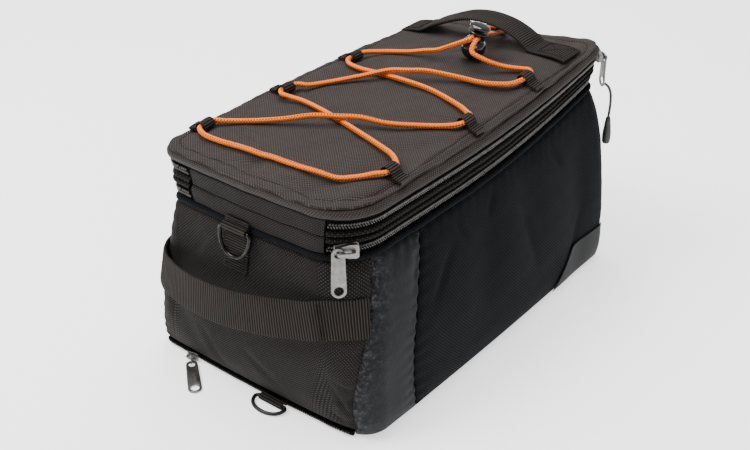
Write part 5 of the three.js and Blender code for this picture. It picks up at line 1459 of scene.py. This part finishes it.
button_profile = [
    (0.05, STEM_BOTTOM), (STEM_RADIUS - 0.4, STEM_BOTTOM), (STEM_RADIUS, STEM_BOTTOM + 0.4),
    (STEM_RADIUS, HEAD_BOTTOM), (HEAD_RADIUS - 1, HEAD_BOTTOM), (HEAD_RADIUS - 0.3, HEAD_BOTTOM + 0.3),
    (HEAD_RADIUS, HEAD_BOTTOM + 0.9), (HEAD_RADIUS - 0.15, HEAD_BOTTOM + 1.5),
    (HEAD_RADIUS - 0.6, HEAD_BOTTOM + 2.0), (HEAD_RADIUS * 0.8, HEAD_BOTTOM + 2.6),
    (HEAD_RADIUS * 0.55, HEAD_BOTTOM + 3.0), (HEAD_RADIUS * 0.25, HEAD_BOTTOM + 3.15),
    (0.05, HEAD_BOTTOM + 3.2),
]
button = lathe("lock_button", button_profile, lock_frame, 64)
dress(button, gloss_black, ["cord_lock_button"], "button_body")
print("lock done")

# %% [markdown]
# One orange cord laces the whole lid. Its route is a list of places: across, along and
# the lift over where it would rest. It goes through each loop and lies over itself at two crossings.
# The bag holds it all the way, so it isn't a free cord.

# %% Elastic lacing
CORD_SEAT = CORD_RADIUS + 1.2
CROSSING = CORD_DIAMETER + GAP * 2


def stop_at(point):
    """A stop of the route from a point of the bag: its last number is the lift over the cord's seat."""
    return [point[0], point[1], point[2] - float(lid_top(point[0], point[1])) - CORD_SEAT]


def in_slot(side, along):
    """A stop in the lock's slot, for one of the two runs."""
    return stop_at(carried(lock_frame, [side * (CORD_RADIUS + GAP), along, SLOT_LEVEL]))


def through(name, direction):
    """Three stops through a loop, towards the rear for 1 and the front for -1."""
    side = direction * LOOPS[name][0]
    hole = -LOOP_REACH / 2 + LOOP_WALL + HOLE_WIDTH / 2
    steps = [side * step * (LOOP_WIDTH / 2 + 0.5) for step in (-1, 0, 1)]
    return [stop_at(carried(loop_frames[name], [hole, y, LOOP_WALL + HOLE_HEIGHT / 2])) for y in steps]


def in_anchor(along):
    """A stop in the anchor's hole."""
    hole = -ANCHOR_REACH / 2 + LOOP_WALL + HOLE_WIDTH / 2
    return stop_at(carried(anchor_frame, [hole, along, LOOP_WALL + HOLE_HEIGHT / 2]))


NECK_REACH = NECK_RADIUS + CORD_DIAMETER
CORD_ROUTE = [
    in_anchor(-GAP), in_anchor(-ANCHOR_WIDTH / 2 - 1),
    [5, 157.5, 2.5], [8, 150, 3.5], [13, 126, 7], [17.5, 108, 12],
    *(in_slot(1, along) for along in (NECK_REACH, NECK_RADIUS / 2, -NECK_RADIUS / 2, -NECK_REACH)),
    [31, 66, 12], [42, 69, 7], [54, 77, 2.5], [65, 85, 1], [73, 89, 1],
    *through("right_rear", -1),
    [74, 61, 1], [66, 55, 0.5], [54, 48, 0.3], [32, 39, 1.5], [10, 28.5, CROSSING], [-3, 22, CROSSING],
    [-16, 15, CROSSING], [-34, 2, 1], [-50, -20, 0], [-61, -36, 0.5], [-67, -40, 1.5],
    *through("left_middle", -1),
    [-66, -62, 1], [-56, -62, 0.3], [-43, -62, 0], [-18, -67, 0], [21, -77, 0], [48, -84, 0], [67, -90, 0.5],
    [74, -95, 1.2],
    *through("right_front", -1),
    [75, -121, 1], [68, -130, 0.5], [50, -140, 0], [29, -145, 0], [-3, -147, 0], [-29, -149, 0],
    [-51, -151, 0], [-66, -150.5, 0.8],
    *through("left_front", 1),
    [-69, -126, 1], [-60, -119, 0.4], [-48, -110, 0.2], [-32, -98, 1.2], [-13, -86, CROSSING],
    [3, -75.5, CROSSING], [18, -66, CROSSING], [36, -55, 1.2], [56, -40, 0.2], [70, -29, 0.5], [76, -23, 1],
    *through("right_middle", 1),
    [72, 0, 1], [64, 4, 0.5], [50, 8, 0], [28, 12, 0], [-4, 14, 0], [-29, 15, 0], [-46, 15, 0.3],
    [-60, 18, 0.8], [-66.5, 23, 1.4],
    *through("left_rear", 1),
    [-66, 47, 1.2], [-59, 54, 0.5], [-48, 61, 0], [-33, 66, 0.4], [-18, 70, 2.5], [-4, 71.5, 6], [8, 69, 11],
    *(in_slot(-1, along) for along in (-NECK_REACH, -NECK_RADIUS / 2, NECK_RADIUS / 2, NECK_REACH)),
    [9, 108, 12], [1, 126, 7], [-8.5, 150, 3.5], [-9, 157.5, 2.5],
    in_anchor(ANCHOR_WIDTH / 2 + 1), in_anchor(GAP),
]
lacing = centripetal(CORD_ROUTE, 1.1)
lacing[:, 2] = lid_top(lacing[:, 0], lacing[:, 1]) + CORD_SEAT + lacing[:, 2]
lace = tube("elastic_lacing", lacing, CORD_RADIUS, sides=16)
dress(lace, elastic, ["bungee_cord"])
print("lacing", round(float(run_length(lacing)[-1])), "mm")

# %% [markdown]
# Both handles are the same ribbed webbing. The top one is folded thick over its arch and flat at its
# two sewn ends; the right end has a box of stitches with a cross in it. The front one is flat, sewn in
# at both corner seams, and bows out between them.

# %% Handles
WEBBING_WIDTH = 30
WEBBING_THICKNESS = 2
GRIP_THICKNESS = 4.6
HANDLE_RISE = 21
HANDLE_SPAN = LID_WIDTH - 14
HANDLE_SEAT = 1.4
FRONT_BOW = 20
FRONT_SEAT = 0.9
FRONT_DROP = 39.5
# reach, rise, grip
TOP_HANDLE = np.array([
    (1.00, 0.00, 0), (0.82, 0.00, 0), (0.67, 0.02, 0), (0.58, 0.14, 0.4), (0.49, 0.38, 1), (0.38, 0.62, 1),
    (0.22, 0.86, 1), (0.00, 1.00, 1), (-0.22, 0.95, 1), (-0.40, 0.74, 1), (-0.60, 0.42, 1),
    (-0.76, 0.12, 0.4), (-0.86, 0.00, 0), (-1.00, 0.00, 0),
])
# walk, stand, drop
FRONT_HANDLE = np.array([
    (7.68, 0.00, 1.000), (7.54, 0.00, 1.000), (7.40, 0.02, 1.000), (7.24, 0.08, 1.010), (7.08, 0.24, 1.035),
    (6.92, 0.50, 1.097), (6.74, 0.80, 1.181), (6.52, 1.00, 1.272), (6.30, 0.96, 1.344), (6.12, 0.76, 1.391),
    (5.97, 0.48, 1.417), (5.76, 0.26, 1.431), (5.56, 0.10, 1.439), (5.36, 0.02, 1.446), (5.20, 0.00, 1.453),
])

row_number = np.arange(len(TOP_HANDLE), dtype=float)
fine_rows = np.linspace(0, row_number[-1], 460)
reach, climb, grip = (smooth_table(TOP_HANDLE[:, k], row_number, fine_rows) for k in range(3))
handle_x = reach * HANDLE_SPAN / 2
right_foot = float(lid_top(HANDLE_SPAN / 2, HANDLE_Y))
left_foot = float(lid_top(-HANDLE_SPAN / 2, HANDLE_Y))
chord = left_foot + (right_foot - left_foot) * (reach + 1) / 2 + climb * HANDLE_RISE
on_lid = lid_top(handle_x, HANDLE_Y + 0 * handle_x)
thick = WEBBING_THICKNESS + (GRIP_THICKNESS - WEBBING_THICKNESS) * np.clip(grip, 0, 1)
handle_z = np.where(climb > 0.004, np.maximum(chord, on_lid), on_lid) + HANDLE_SEAT + thick / 2
handle_z = np.convolve(np.pad(handle_z, 6, mode="edge"), np.ones(13) / 13, mode="valid")
handle_line = np.column_stack([handle_x, HANDLE_Y + 0 * handle_x, handle_z])
handle_across = np.broadcast_to([0.0, 1.0, 0.0], handle_line.shape)
roundness = 6.5 - 3.6 * np.clip(grip, 0, 1)
top_handle = strap("top_handle_webbing", handle_line, handle_across,
                   WEBBING_WIDTH - 2.5 * np.clip(grip, 0, 1), thick, square=roundness)
dress(top_handle, webbing, ["top_handle"])

row_number = np.arange(len(FRONT_HANDLE), dtype=float)
fine_rows = np.linspace(0, row_number[-1], 560)
walk, stand, drop = (smooth_table(FRONT_HANDLE[:, k], row_number, fine_rows) for k in range(3))
middle = BODY_HEIGHT - drop * FRONT_DROP
stand = stand * FRONT_BOW + FRONT_SEAT + WEBBING_THICKNESS / 2
low_edge = wall_point(walk, middle - WEBBING_WIDTH / 2, stand)
high_edge = wall_point(walk, middle + WEBBING_WIDTH / 2, stand)
front_handle = strap("front_handle_webbing", (low_edge + high_edge) / 2, high_edge - low_edge, WEBBING_WIDTH,
                     WEBBING_THICKNESS * 0.9)
dress(front_handle, webbing, ["front_handle"])


def on_handle(x, y, lift=0.35):
    """Points on the top handle, by their place across the bag and their distance from its middle line."""
    z = np.interp(x, handle_x[::-1], (handle_z + thick / 2)[::-1])
    return np.column_stack([x, HANDLE_Y + y, z + lift])


def box_lines(inner, outer, joints):
    """Straight rows of stitches between the corners of a box on the handle."""
    corners = np.array([(inner, -BOX_Y), (outer, -BOX_Y), (outer, BOX_Y), (inner, BOX_Y)])
    return [on_handle(*np.linspace(corners[a], corners[b], 12).T) for a, b in joints]


BOX_Y = 11.5
EDGES = [(0, 1), (1, 2), (2, 3), (3, 0)]
CROSS = [(0, 2), (1, 3)]
handle_paths = box_lines(58, 82, EDGES + CROSS) + box_lines(-68, -82, EDGES)
handle_normals = [(0, 0, 1)] * len(handle_paths)

SEW_WALK = 7.10
sew_level = np.linspace(-WEBBING_WIDTH * 0.46, WEBBING_WIDTH * 0.46, 20)
sew_middle = float(np.interp(SEW_WALK, walk[::-1], middle[::-1]))
sew_stand = float(np.interp(SEW_WALK, walk[::-1], stand[::-1])) + WEBBING_THICKNESS / 2
for shift in (0, 0.035):
    sew_walk = SEW_WALK + shift + 0 * sew_level
    handle_paths.append(wall_point(sew_walk, sew_middle + sew_level, sew_stand + 0.25))
    handle_normals.append(outward(SEW_WALK, sew_middle))
handle_seams = stitches("handle_stitches", handle_paths, handle_normals, pitch=2.6, length=1.9, width=0.8)
dress(handle_seams, thread, [])
print("handles done")

# %% [markdown]
# The dark ring hangs from a webbing tab that is sewn in under the zip, with the strip's tail stitched
# to the front below it. The ring swings, so it rides on its own body. A plain black ring sits in a
# second tab at the foot.

# %% Rings and their tabs
RING_WIRE = 3.2
RING_WIDTH = 34
RING_DEPTH = 25
TAB_WIDTH = 24
TAB_WALL = 1.1
TAB_TONGUE = 7
TAB_RADIUS = RING_WIRE / 2 + 0.35 + TAB_WALL
RING_X = -15.5
BASE_RING_X = 19
BASE_RING_DEPTH = 15


def ring_path(width, depth, count=96):
    """The letter D: a straight bar on the first axis and a deep bow below it, rounded at the two corners."""
    r = RING_WIRE / 2
    half = width / 2 - r
    drop = depth - r * 2
    bar = np.column_stack([np.linspace(-half + r * 1.4, half - r * 1.4, 16), np.zeros(16)])
    angle = np.linspace(0, np.pi, count)
    bow = np.column_stack([half * np.cos(angle), -drop * np.sin(angle) ** 0.8 - r * 0.6])
    flat = np.vstack([bar, bow])
    for _ in range(3):
        flat = (np.roll(flat, 1, 0) + 2 * flat + np.roll(flat, -1, 0)) / 4
    return np.column_stack([flat[:, 0], 0 * flat[:, 0], flat[:, 1]])


def wire_ring(name, matrix, width, depth, material, node, body):
    """Round wire bent to a D."""
    ring = tube(name, carried(matrix, ring_path(width, depth)), RING_WIRE / 2, closed=True,
                reference=matrix[:3, 1], sides=18)
    return dress(ring, material, [node], body)


def folded_tab(name, matrix, tongue, node):
    """Webbing that comes down, turns under the ring's bar and goes up again behind itself."""
    r = TAB_RADIUS - TAB_WALL / 2
    angle = np.linspace(0, -np.pi, 9)
    around = np.column_stack([r * np.cos(angle), r * np.sin(angle)])
    route = np.vstack([[(r, tongue), (r, tongue * 0.4)], around,
                       [(-r * 0.9, r * 0.7), (-r * 0.1, r * 1.25), (r - TAB_WALL, r * 1.5)]])
    path = centripetal(route, 0.35)
    centre = carried(matrix, np.column_stack([0 * path[:, 0], path[:, 0], path[:, 1]]))
    across = np.broadcast_to(matrix[:3, 0], centre.shape)
    piece = strap(name, centre, across, TAB_WIDTH, TAB_WALL * 0.8, sides=24)
    return dress(piece, webbing, [node])


def wall_slope(walk, height, drop):
    """Angle in degrees by which the wall runs outwards below a height."""
    way = wall_point(walk, np.float64(height - drop)) - wall_point(walk, np.float64(height))
    return math.degrees(math.atan2(float(way @ outward(walk, height)), drop))


ring_height = LOWER_ZIP - TAB_RADIUS - GAP
ring_walk = front_walk(RING_X, ring_height)
tab_frame = wall_frame(ring_walk, ring_height, EDGE_ROLL + TAB_RADIUS + 0.5)
ring_frame = tab_frame @ turn_x(-wall_slope(ring_walk, ring_height, RING_DEPTH))
wire_ring("dark_ring", ring_frame, RING_WIDTH, RING_DEPTH, dark_metal, "d_ring", "d_ring_body")
folded_tab("ring_tab", tab_frame, TAB_TONGUE, "d_ring_tab")

base_walk = front_walk(BASE_RING_X, 0)
base_out = float(wall_point(base_walk, np.float64(BASE_ZIP_HEIGHT), EDGE_ROLL)[1]) - TAB_RADIUS + 0.6
base_tilt = math.asin((TAB_RADIUS - RING_WIRE / 2) / (BASE_RING_DEPTH - RING_WIRE))
base_ring_frame = moved(BASE_RING_X, base_out, TAB_RADIUS + GAP / 2) @ turn_x(-90 + math.degrees(base_tilt))
wire_ring("foot_ring", base_ring_frame, RING_WIDTH, BASE_RING_DEPTH, ring_black, "base_ring",
          "base_ring_body")
folded_tab("foot_tab", base_ring_frame, TAB_RADIUS, "base_ring_tab")

TAIL_LENGTH = 31
tail_top = BODY_HEIGHT - GAP * 3
tail_levels = np.linspace(tail_top, tail_top - TAIL_LENGTH, 90)
tail_left = np.array([front_walk(RING_X - TAB_WIDTH / 2, h) for h in tail_levels])
tail_right = np.array([front_walk(RING_X + TAB_WIDTH / 2, h) for h in tail_levels])
TAIL_STAND = 2.0
tail_a = wall_point(tail_left, tail_levels, TAIL_STAND)
tail_b = wall_point(tail_right, tail_levels, TAIL_STAND)
tail = strap("ring_tail", (tail_a + tail_b) / 2, tail_b - tail_a, TAB_WIDTH, 1.1)
dress(tail, webbing, ["webbing_tail"])
tail_lines = []
for share_a, share_b, level_b in ((0.1, 0.9, 0.93), (0.1, 0.1, 0.5), (0.9, 0.9, 0.5), (0.1, 0.9, 0.5),
                                  (0.9, 0.1, 0.5)):
    s = np.linspace(share_a, share_b, 14)
    h = tail_top - np.linspace(0.93, level_b, 14) * TAIL_LENGTH
    left, right = (np.interp(h, tail_levels[::-1], side[::-1]) for side in (tail_left, tail_right))
    tail_lines.append(wall_point(left * (1 - s) + right * s, h, TAIL_STAND + 0.85))
tail_normals = [outward(ring_walk, ring_height)] * len(tail_lines)
tail_seams = stitches("tail_stitches", tail_lines, tail_normals, pitch=2.4, length=1.7, width=0.7)
dress(tail_seams, thread, [])
print("rings done")

# %% [markdown]
# Zip sliders and pulls are die cast. A flat outline drawn as a curve, filled, extruded and bevelled
# gives the plates with their holes and rounded edges, and is then turned into a mesh and put in place.

# %% Sliders and pulls
SLIDER_LENGTH = 16.5
SLIDER_WIDTH = 10
SLIDER_THICKNESS = 4.2
CROWN_WIRE = 1.8
CROWN_PLAY = 0.7
PULL_WIDTH = 11.5
PULL_THICKNESS = 1.5
PULL_LENGTH = 40
REAR_PULL_LENGTH = 31
PULL_TOP = 0.43
PULL_HOLE = 0.31
LEG_X = SLIDER_LENGTH / 2 - CROWN_WIRE
CROWN_GAP = PULL_THICKNESS + CROWN_PLAY * 2
LEG_REACH = CROWN_WIRE * 0.5 * math.sqrt(2)
EYE_RADIUS = LEG_REACH + CROWN_PLAY + 0.7
EYE_DROP = EYE_RADIUS - LEG_REACH - CROWN_PLAY
FLAT_TO_WALL = np.array([[1, 0, 0, 0], [0, 0, -1, 0], [0, 1, 0, 0], [0, 0, 0, 1]], float)


def arc_points(cx, cy, radius, start, end, count=28):
    """Points of a circle's arc, from one angle to another."""
    angle = np.linspace(start, end, count)
    return np.column_stack([cx + radius * np.cos(angle), cy + radius * np.sin(angle)])


def plate_mesh(outlines, thickness, bevel):
    """A filled plate with holes and rounded edges, lying from height 0 to its thickness, in millimetres."""
    data = bpy.data.curves.new("plate", "CURVE")
    data.dimensions = "2D"
    data.fill_mode = "BOTH"
    data.extrude = thickness / 2 - bevel
    data.bevel_depth = bevel
    data.bevel_resolution = 2
    data.offset = -bevel
    for outline in outlines:
        spline = data.splines.new("POLY")
        spline.points.add(len(outline) - 1)
        flat = np.column_stack([outline, np.zeros(len(outline)), np.ones(len(outline))])
        spline.points.foreach_set("co", flat.astype(np.float32).ravel())
        spline.use_cyclic_u = True
    holder = bpy.data.objects.new("plate", data)
    bpy.context.scene.collection.objects.link(holder)
    bpy.context.view_layer.update()
    mesh = bpy.data.meshes.new_from_object(holder.evaluated_get(bpy.context.evaluated_depsgraph_get()))
    bpy.data.objects.remove(holder)
    mesh.transform(Matrix.Translation((0, 0, thickness / 2)))
    return mesh


def joined(name, parts, matrix):
    """Meshes in millimetres joined into one object and placed by a matrix."""
    bm = bmesh.new()
    for mesh, own in parts:
        mesh.transform(Matrix(own.tolist()))
        bm.from_mesh(mesh)
    bmesh.ops.remove_doubles(bm, verts=bm.verts, dist=1e-4)
    bmesh.ops.recalc_face_normals(bm, faces=bm.faces)
    result = bpy.data.meshes.new(name)
    bm.to_mesh(result)
    bm.free()
    result.transform(Matrix(matrix.tolist()))
    result.transform(Matrix.Scale(MM, 4))
    result.shade_smooth()
    result.set_sharp_from_angle(angle=math.radians(35))
    piece = bpy.data.objects.new(name, result)
    bpy.context.scene.collection.objects.link(piece)
    return piece


def slider_piece(name, matrix, node, scale=1.0):
    """A slider: a waisted body and the crown that holds the pull."""
    half, wide = SLIDER_LENGTH / 2, SLIDER_WIDTH
    back = [(-half, -wide * 0.26), (-half, wide * 0.26)]
    s = np.linspace(0, 1, 14)
    flank = np.column_stack([-half + s * (SLIDER_LENGTH * 0.62), wide * (0.30 + 0.20 * s**1.5)])
    nose = [(half - 1.2, wide / 2), (half, wide * 0.40), (half, -wide * 0.40), (half - 1.2, -wide / 2)]
    outline = np.vstack([back, flank, nose, flank[::-1] * [1, -1]])
    body = plate_mesh([outline], SLIDER_THICKNESS, 0.7)
    tall = CROWN_GAP + CROWN_WIRE
    crown = [
        (-LEG_X - CROWN_WIRE / 2, -0.4), (-LEG_X - CROWN_WIRE / 2, tall * 0.7),
        (-LEG_X - CROWN_WIRE * 0.2, tall * 0.93), (-LEG_X + CROWN_WIRE * 0.5, tall), (LEG_X * 0.4, tall),
        (LEG_X * 0.8, tall * 0.9), (LEG_X, tall * 0.65), (LEG_X, -0.4), (LEG_X - CROWN_WIRE * 1.6, -0.4),
        (LEG_X - CROWN_WIRE * 1.6, CROWN_GAP * 0.6), (LEG_X * 0.45, CROWN_GAP * 0.95),
        (LEG_X * 0.3, CROWN_GAP), (-LEG_X + CROWN_WIRE / 2, CROWN_GAP), (-LEG_X + CROWN_WIRE / 2, -0.4),
    ]
    crown_wide = CROWN_WIRE * 1.5
    arch = plate_mesh([np.array(crown)], crown_wide, 0.45)
    stand = np.diag([1.0, -1, -1, 1])
    stand[1:3, 3] = -SLIDER_THICKNESS, crown_wide / 2
    piece = joined(name, [(body, FLAT_TO_WALL), (arch, stand)], matrix @ np.diag([scale, scale, scale, 1.0]))
    return dress(piece, silver, [node])


def pull_piece(name, matrix, length, node, body):
    """A pull: a long plate with an eye at the top and a hole at its foot."""
    top, bottom = PULL_WIDTH * PULL_TOP, PULL_WIDTH / 2
    end = -length + top - EYE_DROP + bottom
    outline = np.vstack([arc_points(0, -EYE_DROP, top, 0, np.pi),
                         arc_points(0, end, bottom, np.pi, 2 * np.pi)])
    eye = arc_points(0, -EYE_DROP, EYE_RADIUS, 0, 2 * np.pi, 40)[:-1]
    grip = arc_points(0, end, PULL_WIDTH * PULL_HOLE, 0, 2 * np.pi, 40)[:-1]
    plate = plate_mesh([outline, eye, grip], PULL_THICKNESS, 0.32)
    piece = joined(name, [(plate, FLAT_TO_WALL)], matrix)
    return dress(piece, silver, [node], body)


def hanging(matrix, lean):
    """The pull's place on its slider's crown, leaning out by some degrees."""
    return matrix @ moved(-LEG_X, -SLIDER_THICKNESS - CROWN_PLAY, 0) @ turn_x(-lean)


lower_coil = LOWER_ZIP + ZIP_HEIGHT / 2
upper_coil = UPPER_ZIP + ZIP_HEIGHT / 2
front_zip_frame = wall_frame(7.5, lower_coil + 1.6, 1.3 + 1.2)
rear_zip_frame = wall_frame(9.55, upper_coil, 1.3 + 0.9)
rear_pull_frame = hanging(rear_zip_frame, 0)
slider_piece("zip_slider_front", front_zip_frame, "front_slider")
slider_piece("zip_slider_rear", rear_zip_frame, "rear_slider")
pull_piece("zip_pull_front", hanging(front_zip_frame, 5), PULL_LENGTH, "front_pull", "front_pull_body")
pull_piece("zip_pull_rear", rear_pull_frame, REAR_PULL_LENGTH, "rear_pull", "rear_pull_body")

# %% [markdown]
# At the foot of the front a small slider carries a wire link, and its pull lies on the ground. The
# link is drawn as a thin ring, and the pull is tipped up a little so that its eye reaches the link.

# %% Base slider, link and pull
BASE_SCALE = 0.62
BASE_SLIDER_X = -(BASE_WIDTH / 2 - 41)
LINK_RADIUS = 4.1
LINK_WIRE = 1
PULL_HEADING = 50

foot_walk = front_walk(BASE_SLIDER_X, 0)
foot_at = wall_point(foot_walk, np.float64(BASE_ZIP_HEIGHT), EDGE_ROLL - 0.45)
facing = outward(foot_walk, 0)
foot_frame = placing([np.cross([0, 0, 1], facing), -facing, [0, 0, 1]],
                     [foot_at[0], foot_at[1], BASE_SCALE * SLIDER_WIDTH / 2 + GAP])
slider_piece("zip_slider_foot", foot_frame, "base_slider", BASE_SCALE)

turn = math.radians(PULL_HEADING)
heading = np.array([math.sin(turn), -math.cos(turn), 0])
link_at = foot_at + facing * (SLIDER_THICKNESS + CROWN_GAP / 2) * BASE_SCALE + heading * LINK_RADIUS
link_at[2] = LINK_RADIUS + LINK_WIRE / 2 + GAP / 2
angle = np.linspace(0, 2 * np.pi, 48, endpoint=False)
link_path = link_at + LINK_RADIUS * (np.cos(angle)[:, None] * heading
                                     + np.sin(angle)[:, None] * np.array([0, 0, 1.0]))
link_side = np.cross(heading, [0, 0, 1])
link = tube("foot_link", link_path, LINK_WIRE / 2, closed=True, reference=link_side, sides=10)
dress(link, silver, ["base_link"])

eye_rim = (PULL_WIDTH * PULL_TOP + EYE_RADIUS) / 2 - EYE_DROP
pull_top = link_at[2] - LINK_RADIUS + LINK_WIRE / 2 + GAP * 2
pitch = math.asin((pull_top - GAP / 2) / (PULL_LENGTH * 0.95))
foot_pull_at = link_at + heading * (eye_rim + GAP * 3)
foot_pull_frame = placing([-link_side, [0, 0, -1], -heading], [*foot_pull_at[:2], pull_top])
pull_piece("zip_pull_foot", foot_pull_frame @ turn_x(math.degrees(pitch)), PULL_LENGTH, "base_pull", "bag")

# %% [markdown]
# A thin black cord with a moulded grip is tied to the rear pull. It leaves the pull's hole, hangs
# in a slight bow and ends in the grip. Its route is a few places in the pull's plane.

# %% Pull cord and grip
PULL_CORD_DIAMETER = 2.4
GRIP_LENGTH = 26
GRIP_WIDTH = 8
PULL_CORD = [(0, 0), (-4, -3), (-7.2, -10), (-8.2, -20), (-7.6, -33)]
pull_hole = -REAR_PULL_LENGTH + PULL_WIDTH * PULL_TOP + PULL_WIDTH / 2
cord_top = pull_hole - PULL_WIDTH * PULL_HOLE - PULL_CORD_DIAMETER * 0.2
cord_stand = PULL_THICKNESS + PULL_CORD_DIAMETER / 2 + GAP
cord_plan = np.array([(0, out - cord_stand, cord_top + drop) for out, drop in PULL_CORD])
cord_line = carried(rear_pull_frame, centripetal(cord_plan, 1.0))
pull_cord = tube("pull_cord_braid", cord_line, PULL_CORD_DIAMETER / 2, reference=rear_pull_frame[:3, 0])
dress(pull_cord, rubber, ["pull_cord"], "rear_pull_body")

grip_shape = [
    (0.05, -1), (0.45, -1.0), (0.72, -0.985), (0.88, -0.95), (0.96, -0.86), (1, -0.72), (0.95, -0.56),
    (0.86, -0.44), (0.78, -0.34), (0.71, -0.24), (0.64, -0.14), (0.55, -0.05), (0.45, 0), (0.05, 0),
]
grip_frame = rear_pull_frame @ moved(0, PULL_CORD[-1][0] - cord_stand, cord_top + PULL_CORD[-1][1] - GAP * 3)
grip_profile = np.array(grip_shape) * [GRIP_WIDTH / 2, GRIP_LENGTH]
cord_grip = lathe("pull_cord_grip", grip_profile, grip_frame, 40)
dress(cord_grip, rubber, ["pull_grip"], "rear_pull_body")

# %% [markdown]
# Low on the right side, near the rear, sits a slanted patch of grey reflective film. It is a thin grid
# laid on the wall, left plain.

# %% Reflective patch
PATCH_LOW, PATCH_HIGH = 0.03, 0.24
PATCH_START, PATCH_START_LEAN = 0.74, 0.5
PATCH_END, PATCH_END_LEAN = 1.28, -0.1
PATCH_STAND = 1.9
patch_height = np.linspace(PATCH_LOW, PATCH_HIGH, 24)[:, None]
patch_first = PATCH_START + PATCH_START_LEAN * patch_height
patch_last = PATCH_END + PATCH_END_LEAN * patch_height
patch_walk = patch_first + (patch_last - patch_first) * np.linspace(0, 1, 70)
patch_points = wall_point(patch_walk, patch_height * BODY_HEIGHT + 0 * patch_walk, PATCH_STAND)
patch_uv = np.stack([patch_walk * 100, patch_height * BODY_HEIGHT + 0 * patch_walk], -1)
patch = surface("reflective_film", patch_points, patch_uv)
thicken(patch, 0.6)
dress(patch, film, ["reflective_patch"])
